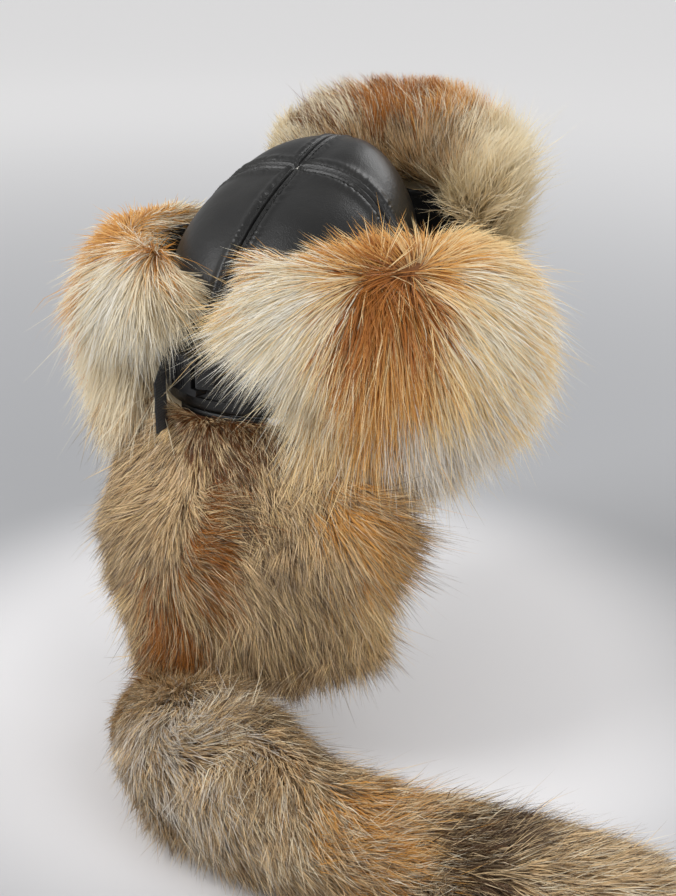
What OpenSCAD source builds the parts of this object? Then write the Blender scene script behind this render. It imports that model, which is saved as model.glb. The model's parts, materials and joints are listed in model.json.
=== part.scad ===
// Fur trapper hat: leather crown, turned-up fur visor and ear flaps, long fur neck cape with a tail,
// and a webbing strap with a side-release buckle across the back of the band.
// The origin is the centre of the head opening at the rim. +Y is forward and +X is the wearer's right.

/* [Crown] */
// Half width of the crown at the rim, over the leather
crown_half_width = 95; // [79:1:114]
// Half length of the crown at the rim, over the leather
crown_half_length = 112; // [96:1:134]
// Height of the seam crossing above the rim
crown_height = 155; // [130:1:186]
// Squareness of the crown seen from the side, where 2 is an ellipse
crown_fullness = 2.9; // [2.2:0.1:3.4]
// How much the front of the crown stands above an even dome
front_rise = 49; // [30:1:60]
// How far each panel swells out between its seams
panel_swell = 3; // [0:0.5:6]
// Height of the straight side band
band_height = 70; // [58:1:84]
// Height of the inner sweatband
sweatband_height = 32; // [25:1:40]
// Height that the rim binding covers on each side of the edge
binding_height = 8; // [5:1:12]

/* [Layers] */
// Thickness of the leather
leather = 1.2; // [0.8:0.1:1.6]
// Thickness of the padding in the crown
wadding = 4; // [3:0.5:6]
// Thickness of the lining cloth
lining = 0.8; // [0.6:0.1:1.2]
// Gap between two layers that are sewn together
layer_gap = 0.25; // [0.2:0.05:0.4]
// Gap between two pieces that move apart
moving_gap = 0.5; // [0.4:0.1:1]

/* [Visor] */
// Half width of the visor's leather at its foot
visor_half_width = 62; // [52:1:64]
// How much wider the visor is at its top than at its foot
visor_spread = 1.45; // [1.2:0.05:1.6]
// Height of the visor's leather at its middle
visor_height = 118; // [98:1:141]
// How far the fur stands above the visor's leather
visor_crest = 70; // [58:1:80]
// How far the visor's top leans forward
visor_lean = 12; // [0:1:24]
// How far the top of the visor leans to the wearer's right
visor_skew = 16; // [12:1:19]
// Depth of the visor's fur
visor_fur_depth = 54; // [40:1:66]

/* [Ear flaps] */
// Length of a flap's leather behind the hat's middle
flap_rear = 90; // [75:1:91]
// Length of a flap's leather in front of the hat's middle
flap_front = 70; // [58:1:71]
// Height of a flap's leather at its middle
flap_height = 98; // [82:1:118]
// How far a flap's top leans outwards
flap_lean = 8; // [0:1:20]
// Depth of a flap's fur
flap_fur_depth = 80; // [66:1:92]
// How much further round the back the top of a flap reaches than its foot
flap_reach = 16; // [12:1:18]
// How far a turned-up panel stands off the band, over the strap
panel_stand = 5; // [4.8:0.1:7]
// How far the fur reaches past the ends of its leather
fur_margin = 8; // [5:1:9]

/* [Neck cape and tail] */
// Half width of the cape where it meets the rim
cape_root_half_width = 46; // [38:1:50]
// Spread of the cape's fur to the wearer's right
cape_right_spread = 130; // [110:1:158]
// Spread of the cape's fur to the wearer's left
cape_left_spread = 99; // [82:1:119]
// Share of the cape's spread that is leather
cape_leather_share = 0.8; // [0.7:0.05:0.9]
// Length of the cape below the rim
cape_length = 200; // [167:1:210]
// Depth of the cape's fur
cape_fur_depth = 52; // [42:1:60]
// How far the foot of the cape drifts to the wearer's left
cape_drift = 36; // [25:1:40]
// Share of the tail's thickness that is pelt
pelt_share = 0.35; // [0.25:0.05:0.45]

/* [Strap and buckle] */
// Width of the webbing
webbing_width = 16; // [13.4:0.1:19.2]
// Thickness of the webbing
webbing = 1.4; // [1.1:0.1:1.8]
// Height of the strap's middle above the rim
strap_rise = 26; // [23:1:28]
// Place of the buckle round the band, in degrees from the wearer's right
buckle_turn = 254; // [248:1:262]
// Width of the buckle across the strap
buckle_width = 28; // [26:0.5:33]
// Thickness of the buckle's socket
socket_depth = 9; // [8.5:0.5:12]
// Length of the buckle's socket
socket_length = 22; // [21:0.5:27]
// Length of the plug's ladder outside the socket
ladder_length = 16; // [15.5:0.5:20]
// Radius of the bars that the webbing goes round
bar_radius = 1.4; // [1.2:0.1:1.7]
// Length of the strap's free end
free_end_length = 54; // [45:1:60]

/* [Hidden] */
$fn = 32;

// Layers of the crown, each as its distance out from the leather's face
wadding_face = -leather - layer_gap;
lining_face = wadding_face - wadding - layer_gap;
sweatband_face = lining_face - lining - layer_gap;
inside_face = sweatband_face - leather;

// Layers of a turned-up panel
panel_foot = 3;
rim_foot = -leather - layer_gap;

// The tail's middle line from its root to its tip, as steps away from the root, with its radius
TAIL = [
    [0, 0, 0, 11], [0, -4, -11, 12], [8, -24, -20, 17], [30, -66, -11, 37], [66, -90, -3, 49],
    [112, -98, -2, 51], [160, -106, -13, 41], [218, -104, -17, 36], [278, -98, -15, 38],
    [338, -90, -16, 38], [392, -81, -19, 35], [436, -75, -26, 28], [468, -72, -35, 19],
    [488, -71, -43, 9]
];

function lerp(a, b, k) = a + (b - a) * k;
function steps(n) = [for (i = [0:n]) i / n];
function bulge(k) = sqrt(max(0, 1 - pow(2 * k - 1, 2)));
function square_bulge(k) = sqrt(max(0, 1 - pow(2 * k - 1, 4)));
function ease(k) = let(c = min(max(k, 0), 1)) c * c * (3 - 2 * c);

// ---- Closed solids from grids of points ----

function split(a, b, c, d) = [[a, b, c], [a, c, d]];

function sheet_faces(rows, cols, start, outwards, joined) = [
    for (i = [0:rows - 2], j = [0:joined ? cols - 1 : cols - 2])
        let(
            k = (j + 1) % cols,
            a = start + i * cols + j, b = start + i * cols + k,
            c = start + (i + 1) * cols + k, d = start + (i + 1) * cols + j
        )
        each outwards ? split(a, d, c, b) : split(a, b, c, d)
];

// The strip between row i of the outer grid and row p of the inner one
function rim_faces(cols, outer_row, inner_row, upper, joined) = [
    for (j = [0:joined ? cols - 1 : cols - 2])
        let(
            k = (j + 1) % cols,
            a = outer_row + j, b = outer_row + k, c = inner_row + k, d = inner_row + j
        )
        each upper ? split(a, d, c, b) : split(a, b, c, d)
];

function flat(grid) = [for (row = grid) each row];

// An open sheet with a thickness: two grids of one size, and the four rims between them
module wall(outer, inner) {
    rows = len(outer);
    cols = len(outer[0]);
    half = rows * cols;
    last = (rows - 1) * cols;
    polyhedron(
        concat(flat(outer), flat(inner)),
        concat(
            sheet_faces(rows, cols, 0, true, false),
            sheet_faces(rows, cols, half, false, false),
            rim_faces(cols, 0, half, false, false),
            rim_faces(cols, last, half + last, true, false),
            [for (i = [0:rows - 2])
                let(a = i * cols, d = a + cols) each split(d, a, half + a, half + d)],
            [for (i = [0:rows - 2])
                let(b = (i + 1) * cols - 1, c = b + cols) each split(b, c, half + c, half + b)]
        ),
        convexity = 8
    );
}

function cap_faces(cols, row, upper) = [
    for (j = [1:cols - 2]) upper ? [row, row + j + 1, row + j] : [row, row + j, row + j + 1]
];

// A cup: two stacks of rings, joined at their mouths and closed at their far ends
module cup(outer, inner) {
    cols = len(outer[0]);
    start = len(outer) * cols;
    polyhedron(
        concat(flat(outer), flat(inner)),
        concat(
            sheet_faces(len(outer), cols, 0, true, true),
            sheet_faces(len(inner), cols, start, false, true),
            rim_faces(cols, 0, start, false, true),
            cap_faces(cols, start - cols, true),
            cap_faces(cols, start + (len(inner) - 1) * cols, false)
        ),
        convexity = 8
    );
}

// One stack of rings, closed at both ends
module plug(rings) {
    cols = len(rings[0]);
    polyhedron(
        flat(rings),
        concat(
            sheet_faces(len(rings), cols, 0, true, true),
            cap_faces(cols, 0, false),
            cap_faces(cols, (len(rings) - 1) * cols, true)
        ),
        convexity = 8
    );
}

// A closed outline of [out, z] points carried round the crown
module hoop(outline, turns) {
    rows = len(outline);
    points = [for (p = outline) for (k = [0:turns - 1]) band_point(k * 360 / turns, p[0], p[1])];
    polyhedron(
        points,
        [for (i = [0:rows - 1], j = [0:turns - 1])
            let(
                m = (i + 1) % rows, k = (j + 1) % turns,
                a = i * turns + j, b = i * turns + k, c = m * turns + k, d = m * turns + j
            )
            each split(a, d, c, b)],
        convexity = 8
    );
}

// ---- Crown ----

function rise_at(z) = asin(pow(max(z, 0) / crown_height, crown_fullness / 2));
function reach_at(rise) = pow(max(cos(rise), 0), 2 / crown_fullness);
function climb_at(rise) = pow(sin(rise), 2 / crown_fullness);
function swell_at(turn, rise) =
    panel_swell * abs(sin(2 * turn)) * sin(180 * (max(rise, band_rise) - band_rise) / (90 - band_rise));

// A point of the crown: turn runs round from the wearer's right, rise from 0 at the rim to 90 on top
function crown_point(turn, rise, out) =
    let(reach = reach_at(rise), climb = climb_at(rise), puffed = out + swell_at(turn, rise))
    [
        (crown_half_width + puffed) * reach * cos(turn),
        (crown_half_length + puffed) * reach * sin(turn),
        (crown_height + puffed) * climb + front_rise * sin(turn) * reach * pow(climb, 2)
    ];

function band_point(turn, out, z) =
    let(rise = rise_at(z), reach = reach_at(rise))
    [
        (crown_half_width + out) * reach * cos(turn),
        (crown_half_length + out) * reach * sin(turn),
        z + front_rise * sin(turn) * reach * pow(climb_at(rise), 2)
    ];

band_rise = rise_at(band_height);
panel_start = rise_at(band_height + leather);
top_rise = 89.9;

// One grid for every layer, so that the flat facets of neighbours nest
quarter_turns = 10;
dome_turns = 4 * quarter_turns;
panel_rises = [for (k = steps(9)) lerp(panel_start, top_rise, k)];
low_heights = [for (k = steps(3)) k * sweatband_height];

module crown_panel(first) {
    seam_turn = 0.1;
    turns = [for (k = steps(quarter_turns)) lerp(first + seam_turn, first + 90 - seam_turn, k)];
    color("#1b1b1d")
        wall(
            [for (r = panel_rises) [for (t = turns) crown_point(t, r, 0)]],
            [for (r = panel_rises) [for (t = turns) crown_point(t, r, -leather)]]
        );
}

module crown_panel_front_right() { crown_panel(0); }
module crown_panel_front_left() { crown_panel(90); }
module crown_panel_back_left() { crown_panel(180); }
module crown_panel_back_right() { crown_panel(270); }

// A ring between two layers, through the given heights
module layer_ring(face, thickness, heights) {
    last = len(heights) - 1;
    hoop(
        concat(
            [for (z = heights) [face, z]],
            [for (k = [last:-1:0]) [face - thickness, heights[k]]]
        ),
        dome_turns
    );
}

module crown_band() {
    color("#232325") layer_ring(0, leather, concat(low_heights, [band_height]));
}

// A dome inside the crown, open at the rim
module layer_dome(face, thickness) {
    rises = concat([for (z = low_heights) rise_at(z)], panel_rises);
    function rings(out) = [
        for (r = rises) [for (k = [0:dome_turns - 1]) crown_point(k * 360 / dome_turns, r, out)]
    ];
    cup(rings(face), rings(face - thickness));
}

module crown_wadding() {
    color("#d9d4c8") layer_dome(wadding_face, wadding);
}

module crown_lining() {
    color("#2a2a2e") layer_dome(lining_face, lining);
}

module sweatband() {
    color("#1f1d1c") layer_ring(sweatband_face, leather, low_heights);
}

// A strip folded round the raw edge, from the band's outside to the sweatband's inside
module rim_binding() {
    outer = layer_gap + leather;
    inner = inside_face - layer_gap - leather;
    color("#161617")
        hoop(
            [
                [outer, rim_foot], [outer, binding_height], [layer_gap, binding_height],
                [layer_gap, -layer_gap], [inside_face - layer_gap, -layer_gap],
                [inside_face - layer_gap, binding_height], [inner, binding_height], [inner, rim_foot]
            ],
            dome_turns
        );
}

// ---- Turned-up panels ----

// A fur's section from under its foot to its top: how far out, and how high, each as a share
SECTION = [
    [0.03, -0.08], [0.16, -0.16], [0.4, -0.195], [0.62, -0.22], [0.8, -0.16], [0.93, -0.03], [0.99, 0.14],
    [1, 0.32], [0.96, 0.5], [0.87, 0.68], [0.72, 0.83], [0.5, 0.94], [0.24, 1]
];

// Columns along a panel and rows up it. The fur's grid is the leather's, with more past its edges
inner_runs = concat([0.05], [for (k = [2:12]) k / 14], [0.95]);
leather_runs = concat([0], inner_runs, [1]);
leather_rows = [0, 0.03, 0.08, 0.16, 0.27, 0.4, 0.54, 0.68, 0.82, 0.94, 1];
edge_drop = 0.3;

function drop_at(s, rear_drop = edge_drop) =
    1 - (s < 0.5 ? rear_drop : edge_drop) * pow(abs(2 * min(max(s, 0), 1) - 1), 3);

// How full the fur is along the panel, from its ends to its middle
function fullness_at(s, overrun) = 0.45 + 0.55 * square_bulge((s + overrun) / (1 + 2 * overrun));

// ---- Ear flaps ----

flap_off = panel_stand + leather;
flap_overrun = fur_margin / (flap_rear + flap_front);
flap_runs = concat([-flap_overrun], leather_runs, [1 + flap_overrun]);
flap_rows = concat(leather_rows, [1.1, 1.2]);
flap_top = 1.2 * flap_height;

flap_rear_drop = 0.06;
rear_free = 45;

// How far a height is into the part of the flap that reaches round the back
function wrap_at(z) = ease((z - rear_free) / 40);

// How far the fur turns backwards along the flap, and how full it is there, each as [place, value]
REAR_TURN = [[-0.06, 72], [0, 54], [0.05, 26], [0.143, 6], [0.2, 0], [2, 0]];
REAR_DEPTH = [[-0.06, 0.17], [0, 0.27], [0.05, 0.45], [0.143, 0.72], [0.214, 0.86], [0.35, 1], [2, 1]];

// The right flap's sheet: s runs from rear to front, z up from the flap's foot
function flap_point(s, z, out) =
    let(
        wrap = wrap_at(z),
        y = lerp(-flap_rear - flap_reach * wrap, flap_front, s),
        x = (crown_half_width + flap_off) * sqrt(1 - pow(y / (crown_half_length + flap_off), 2)),
        turn = wrap * lookup(s, REAR_TURN)
    )
    [
        x + flap_lean * pow(max(z, 0) / flap_height, 2) + out * cos(turn),
        y - out * sin(turn),
        panel_foot + z
    ];

module flap_leather() {
    function sheet(out) = [
        for (h = leather_rows) [for (s = leather_runs) flap_point(s, h * flap_height * drop_at(s, flap_rear_drop), out)]
    ];
    color("#202022") wall(sheet(0), sheet(-leather));
}

module flap_fur() {
    inner = [for (h = flap_rows) [for (s = flap_runs)
        flap_point(s, h * flap_height * drop_at(s, flap_rear_drop), layer_gap)]];
    outer = [
        for (p = SECTION) [for (s = flap_runs)
            let(
                z = p[1] * flap_top * drop_at(s, flap_rear_drop),
                ends = fullness_at(s, flap_overrun),
                full = s < 0.5 ? lerp(ends, lookup(s, REAR_DEPTH), wrap_at(z)) : ends
            )
            flap_point(s, z, layer_gap + p[0] * flap_fur_depth * full)]
    ];
    color("#c98b4a") wall(outer, inner);
}

module right_flap_leather() { flap_leather(); }
module right_flap_fur() { flap_fur(); }
module left_flap_leather() { mirror([1, 0, 0]) flap_leather(); }
module left_flap_fur() { mirror([1, 0, 0]) flap_fur(); }

// ---- Visor ----

interlining = 1;
visor_overrun = fur_margin / (2 * visor_half_width);
visor_runs = concat([-visor_overrun], leather_runs, [1 + visor_overrun]);
visor_top = visor_height + visor_crest;

// The top corners drop less at the wearer's left, where the fur stands higher
function visor_drop_at(s) = 1 - (s < 0.5 ? 0.24 : 0.12) * pow(abs(2 * min(max(s, 0), 1) - 1), 3);

// The visor's sheet: s runs from the wearer's right to the left, z up from the visor's foot
function visor_point(s, z, out) =
    let(
        x = lerp(visor_half_width, -visor_half_width, s),
        y = (crown_half_length + flap_off) * sqrt(1 - pow(x / (crown_half_width + flap_off), 2)),
        up = max(z, 0) / visor_height
    )
    [
        x * lerp(1, visor_spread, ease(up)) + visor_skew * ease(up),
        y + visor_lean * pow(up, 2) + out,
        panel_foot + z
    ];

module visor_leather() {
    function sheet(out) = [
        for (h = leather_rows) [for (s = leather_runs) visor_point(s, h * visor_height * visor_drop_at(s), out)]
    ];
    color("#202022") wall(sheet(0), sheet(-leather));
}

// A stiff layer that holds the visor up, kept back from the seams
module visor_interlining() {
    rows = [for (k = [0:9]) leather_rows[k]];
    function sheet(out) = [
        for (h = rows) [for (s = inner_runs) visor_point(s, h * visor_height * visor_drop_at(s), layer_gap + out)]
    ];
    color("#8c8a84") wall(sheet(interlining), sheet(0));
}

// The fur goes over the leather's top and hangs back towards the crown
module visor_fur() {
    foot = 2 * layer_gap + interlining;
    crest = [[0.1, -0.25], [0.3, -0.36], [0.55, -0.36], [0.78, -0.24], [0.94, -0.02]];
    inner = concat(
        [for (h = leather_rows) [for (s = visor_runs) visor_point(s, h * visor_height * visor_drop_at(s), foot)]],
        [for (p = crest) [for (s = visor_runs)
            visor_point(s, (visor_height + p[0] * visor_crest) * visor_drop_at(s), p[1] * visor_fur_depth)]]
    );
    rows = concat([for (k = [0:11]) SECTION[k]], [[0.42, 0.97], [0.34, 0.985], [0.26, 0.995], [0.2, 1]]);
    outer = [
        for (p = rows) [for (s = visor_runs)
            let(full = fullness_at(s, visor_overrun), z = p[1] * visor_top)
            visor_point(s, (z < 0 ? 0.7 * z : z) * visor_drop_at(s), foot + p[0] * visor_fur_depth * full)]
    ];
    color("#b98a52") wall(outer, inner);
}

// ---- Neck cape ----

cape_top = rim_foot - moving_gap;
cape_face = -leather;

// The cape's sheet: u runs across from -1 at the wearer's left to 1, h from the rim to the foot
function cape_point(u, h, out) =
    let(
        spread = u < 0 ? cape_left_spread - 30 * pow(h, 3) : cape_right_spread - 18 * pow(h, 3),
        drift = cape_drift * pow(h, 2),
        half = lerp(cape_root_half_width, spread + (u < 0 ? -drift : drift), ease(h / 0.3)),
        x = u * half,
        sewn = min(abs(x), cape_sewn_half_width),
        y = -(crown_half_length + cape_face) * sqrt(1 - pow(sewn / (crown_half_width + cape_face), 2)),
        corner = u < 0 ? 0.06 : 0.24
    )
    [x - drift, y - out, cape_top - cape_length * h * (1 - corner * pow(abs(u), 3))];

cape_sewn_half_width = 38;
cape_edge = [0.93, 0.98, 1];
cape_runs = [for (k = steps(12)) cape_leather_share * (2 * k - 1)];
cape_fur_runs = concat([for (k = [2:-1:0]) -cape_edge[k]], cape_runs, cape_edge);
cape_rows = [1, 0.98, 0.92, 0.84, 0.74, 0.63, 0.52, 0.41, 0.31, 0.22, 0.13, 0.05, 0];

module cape_leather() {
    function sheet(out) = [for (h = cape_rows) [for (u = cape_runs) cape_point(u, h, out)]];
    color("#202022") wall(sheet(leather), sheet(0));
}

// Short fur at the rim, where the strap hangs, and full fur below it
module cape_fur() {
    rim_fur = 6;
    clear = 24;
    full = 95;
    foot = leather + layer_gap;
    function depth(u, h) =
        rim_fur + (cape_fur_depth - rim_fur) * ease((cape_length * h - clear) / (full - clear))
            * square_bulge(u / 2 + 0.5) * (1 - 0.45 * pow(h, 4));
    function sheet(fur) = [
        for (h = cape_rows) [for (u = cape_fur_runs) cape_point(u, h, foot + fur * depth(u, h))]
    ];
    color("#9c7f5c") wall(sheet(1), sheet(0));
}

// ---- Tail ----

// The tail is sewn on under the foot of the cape
tail_root = [-cape_drift - 2, -crown_half_length - 14, cape_top - cape_length - moving_gap];

// One ring of points round the tail's middle line, square to the way it runs
function tail_ring(k, share, short = 0) =
    let(
        here = TAIL[k],
        before = TAIL[max(k - 1, 0)],
        after = TAIL[min(k + 1, len(TAIL) - 1)],
        way = k == 0 ? [0, 0, -1] : [after[0] - before[0], after[1] - before[1], after[2] - before[2]],
        along = way / norm(way),
        side = let(s = cross(along, [0.5, 0.5, 1])) s / norm(s),
        over = cross(side, along),
        middle = tail_root + [here[0], here[1], here[2]] - short * along
    )
    [for (turn = [0:22.5:337.5]) middle + here[3] * share * (cos(turn) * over + sin(turn) * side)];

module tail_pelt() {
    pelt_end = len(TAIL) - 3;
    color("#8a5a34")
        plug([for (k = [0:pelt_end]) tail_ring(k, pelt_share, k == pelt_end ? 2 * moving_gap : 0)]);
}

module tail_fur() {
    pelt_end = len(TAIL) - 3;
    channel = pelt_share + 0.03;
    color("#8d7a63")
        cup(
            [for (k = [0:len(TAIL) - 1]) tail_ring(k, 1)],
            [for (k = [0:pelt_end]) tail_ring(k, k < pelt_end ? channel : channel * 1.1)]
        );
}

// ---- Strap and buckle ----

// Middle of the buckle: its own +X runs along the strap to the wearer's right, and +Y into the crown
webbing_low = strap_rise - webbing_width / 2;
webbing_high = strap_rise + webbing_width / 2;
tab_margin = 3;

function lean_between(low, high) =
    crown_half_length * (reach_at(rise_at(low)) - reach_at(rise_at(high)));

strap_face = layer_gap + lean_between(webbing_low, strap_rise);
tab_face = strap_face + webbing + layer_gap + lean_between(strap_rise, webbing_high + tab_margin);
buckle_stand = socket_depth / 2 + moving_gap;
buckle_angle = atan2(crown_half_length * cos(buckle_turn), -crown_half_width * sin(buckle_turn));
buckle_seat = band_point(buckle_turn, 0, strap_rise);
buckle_middle = [
    buckle_seat[0] + buckle_stand * sin(buckle_angle),
    buckle_seat[1] - buckle_stand * cos(buckle_angle),
    strap_rise
];

// A point of the buckle's own plan in the hat's frame
function from_buckle(p) = [
    buckle_middle[0] + p[0] * cos(buckle_angle) - p[1] * sin(buckle_angle),
    buckle_middle[1] + p[0] * sin(buckle_angle) + p[1] * cos(buckle_angle)
];

module at_buckle() {
    translate(buckle_middle) rotate([0, 0, buckle_angle]) children();
}

// Places of the bars along the buckle, and the webbing's way round them
socket_bar = socket_length - bar_radius;
outer_bar = -ladder_length + bar_radius;
slot_length = 2 * bar_radius + 0.5;
inner_bar = outer_bar + 2 * bar_radius + slot_length;
loop_radius = bar_radius + 0.3 + webbing / 2;
slot_height = webbing_width + 1.2;

// A flat strap standing on edge along a path seen from above
module ribbon(path) {
    last = len(path) - 1;
    function side(k) =
        let(
            way = path[min(k + 1, last)] - path[max(k - 1, 0)],
            n = [-way[1], way[0]] / norm(way)
        )
        n * webbing / 2;
    translate([0, 0, webbing_low])
        linear_extrude(webbing_width)
            polygon(concat(
                [for (k = [0:last]) path[k] + side(k)],
                [for (k = [last:-1:0]) path[k] - side(k)]
            ));
}

function on_band(turn, out) =
    let(p = band_point(turn, out, strap_rise)) [p[0], p[1]];

strap_out = strap_face + webbing / 2;
tab_reach = 12;
flap_corner = asin(flap_rear / (crown_half_length + panel_stand + leather));
right_end = 360 - flap_corner + tab_reach;
left_end = 180 + flap_corner - tab_reach;

// How far round the band the webbing lies free before it meets the leather
round_here = norm([crown_half_width * sin(buckle_turn), crown_half_length * cos(buckle_turn)]);
band_radius = pow(round_here, 3) / crown_half_width / crown_half_length;
webbing_lift = buckle_stand - loop_radius - strap_out;

function free_turn(x) = 0.88 * (x + sqrt(x * x + 2 * band_radius * webbing_lift)) * 180 / PI / round_here;

module strap_right() {
    bar = [socket_bar, 0];
    start = buckle_turn + free_turn(socket_bar);
    run = [for (k = steps(8)) on_band(lerp(start, right_end - 3, k), strap_out)];
    loop = [for (a = [-60:-24:-276]) from_buckle(bar + loop_radius * [cos(a), sin(a)])];
    first = loop[0];
    way = (run[0] - from_buckle(bar + [0, loop_radius])) / norm(run[0] - from_buckle(bar));
    folded = first + way * 12;
    color("#141415") ribbon(concat([folded], loop, run));
}

module strap_left() {
    start = buckle_turn - free_turn(-outer_bar);
    run = [for (k = steps(5)) on_band(lerp(left_end + 3, start, k), strap_out)];
    loop = [for (a = [90:-22.5:-90]) from_buckle([inner_bar + loop_radius * cos(a), loop_radius * sin(a)])];
    color("#141415")
        ribbon(concat(
            run,
            [from_buckle([outer_bar - 1, loop_radius])],
            loop,
            [from_buckle([outer_bar - bar_radius, -loop_radius])]
        ));
}

// The free end hangs from the plug, turned nearly edge on to the crown
end_turn = 118;
end_top = webbing_high;

module strap_end() {
    hang = from_buckle([outer_bar - bar_radius, -loop_radius - webbing - moving_gap]);
    color("#141415")
        translate([hang[0], hang[1], end_top])
            rotate([0, 0, buckle_angle + end_turn])
                translate([-webbing_width, -webbing / 2, 0])
                    rotate([90, 0, 0])
                        translate([0, 0, -webbing])
                            linear_extrude(webbing)
                                polygon([
                                    [0, -webbing_width], [webbing_width, 0],
                                    [webbing_width, -free_end_length], [0, -free_end_length]
                                ]);
}

// A leather patch sewn over each end of the strap
module strap_tab(first) {
    turns = [for (k = steps(4)) lerp(first, first + tab_reach, k)];
    heights = [webbing_low - tab_margin, strap_rise, webbing_high + tab_margin];
    function sheet(out) = [for (z = heights) [for (t = turns) band_point(t, out, z)]];
    color("#232325") wall(sheet(tab_face + leather), sheet(tab_face));
}

module strap_tab_right() { strap_tab(right_end - tab_reach); }
module strap_tab_left() { strap_tab(left_end); }

// A plate seen along the buckle's depth, with rounded corners
module rounded_plate(x0, x1, half_height, depth, corner) {
    rotate([90, 0, 0])
        translate([0, 0, -depth / 2])
            linear_extrude(depth)
                hull()
                    for (x = [x0 + corner, x1 - corner], z = [-1, 1])
                        translate([x, z * (half_height - corner)]) circle(corner);
}

module through(x0, x1, half_height, depth) {
    translate([x0, -depth / 2, -half_height]) cube([x1 - x0, depth, 2 * half_height]);
}

module bar(x) {
    translate([x, 0, -slot_height / 2 - 1]) cylinder(h = slot_height + 2, r = bar_radius);
}

socket_wall = 1.8;
cavity_length = socket_bar - slot_length - bar_radius - socket_wall;
cavity_half = buckle_width / 2 - 2.5;
cavity_depth = socket_depth - 2 * socket_wall;
window_start = 0.4 * cavity_length;
window_end = window_start + 6.4;

module buckle_socket() {
    color("#101011")
        at_buckle()
            union() {
                difference() {
                    rounded_plate(0, socket_length, buckle_width / 2, socket_depth, 2.5);
                    through(-1, cavity_length, cavity_half, cavity_depth);
                    for (side = [-1, 1])
                        translate([window_start, -cavity_depth / 2, side > 0 ? cavity_half - 1 : -buckle_width / 2 - 1])
                            cube([window_end - window_start, cavity_depth, buckle_width / 2 - cavity_half + 2]);
                    through(socket_bar - bar_radius - slot_length, socket_length + 1, slot_height / 2, socket_depth + 2);
                    // Ribs to grip, cut as shallow channels across both faces
                    for (x = [2.4, 4.8, 7.2], side = [-1, 1])
                        translate([x, side * socket_depth / 2, 0])
                            cube([0.8, 0.8, buckle_width - 10], center = true);
                }
                bar(socket_bar);
            }
}

plug_depth = 5.4;
arm_depth = cavity_depth - 0.8;
arm_middle = 8.1;
arm_half = 1.1;
pivot_x = -2.2;
pivot_radius = 1.5;
pivot_clearance = 0.08;
guide_half = 1.8;

module buckle_plug() {
    slot_end = inner_bar + bar_radius + slot_length;
    color("#101011")
        at_buckle()
            union() {
                difference() {
                    rounded_plate(-ladder_length, -0.4, buckle_width / 2, plug_depth, 2);
                    through(-ladder_length - 1, outer_bar + bar_radius, slot_height / 2, plug_depth + 2);
                    through(outer_bar + bar_radius - 0.2, inner_bar - bar_radius + 0.2, slot_height / 2, plug_depth + 2);
                    through(inner_bar - bar_radius, slot_end, slot_height / 2, plug_depth + 2);
                    for (side = [-1, 1])
                        translate([pivot_x, 0, side * arm_middle])
                            rotate([90, 0, 0])
                                cylinder(h = plug_depth + 2, r = pivot_radius + pivot_clearance, center = true);
                    for (side = [-1, 1])
                        translate([pivot_x + 3, 0, side * (arm_middle - 0.5)])
                            cube([6, plug_depth + 2, 2 * arm_half + 2], center = true);
                }
                bar(outer_bar);
                bar(inner_bar);
                through(-1.2, cavity_length - 1, guide_half, arm_depth);
            }
}

// One sprung arm of the plug: side is 1 for the upper and -1 for the lower
module prong(side) {
    head_start = window_start + 0.4;
    head_end = window_end - 1.3;
    arm_end = cavity_length - 0.6;
    head_top = buckle_width / 2 - 0.6;
    color("#101011")
        at_buckle()
            union() {
                translate([pivot_x, 0, side * arm_middle])
                    rotate([90, 0, 0]) cylinder(h = arm_depth, r = pivot_radius, center = true);
                rotate([90, 0, 0])
                    translate([0, 0, -arm_depth / 2])
                        linear_extrude(arm_depth)
                            polygon([
                                [pivot_x, side * (arm_middle - arm_half)],
                                [arm_end, side * (arm_middle - arm_half)],
                                [arm_end, side * arm_middle],
                                [head_end, side * (cavity_half - 0.5)],
                                [head_end, side * head_top],
                                [head_start, side * head_top],
                                [head_start, side * (arm_middle + arm_half)],
                                [pivot_x, side * (arm_middle + arm_half)]
                            ]);
            }
}

module buckle_prong_upper() { prong(1); }
module buckle_prong_lower() { prong(-1); }

crown_panel_front_right();
crown_panel_front_left();
crown_panel_back_right();
crown_panel_back_left();
crown_band();
crown_wadding();
crown_lining();
sweatband();
rim_binding();
visor_leather();
visor_interlining();
visor_fur();
right_flap_leather();
right_flap_fur();
left_flap_leather();
left_flap_fur();
cape_leather();
cape_fur();
tail_pelt();
tail_fur();
strap_right();
strap_left();
strap_end();
strap_tab_right();
strap_tab_left();
buckle_socket();
buckle_plug();
buckle_prong_upper();
buckle_prong_lower();
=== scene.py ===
"""Looks of the fur trapper hat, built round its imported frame.

Lengths are in metres and angles in radians, unless a name or a docstring says millimetres or degrees.
"""
import json
import logging
import math
from collections.abc import Callable, Sequence
from dataclasses import dataclass
from enum import Enum

import bmesh
import bpy
import numpy as np
from mathutils import Matrix, Vector, kdtree
from mathutils.bvhtree import BVHTree

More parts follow.
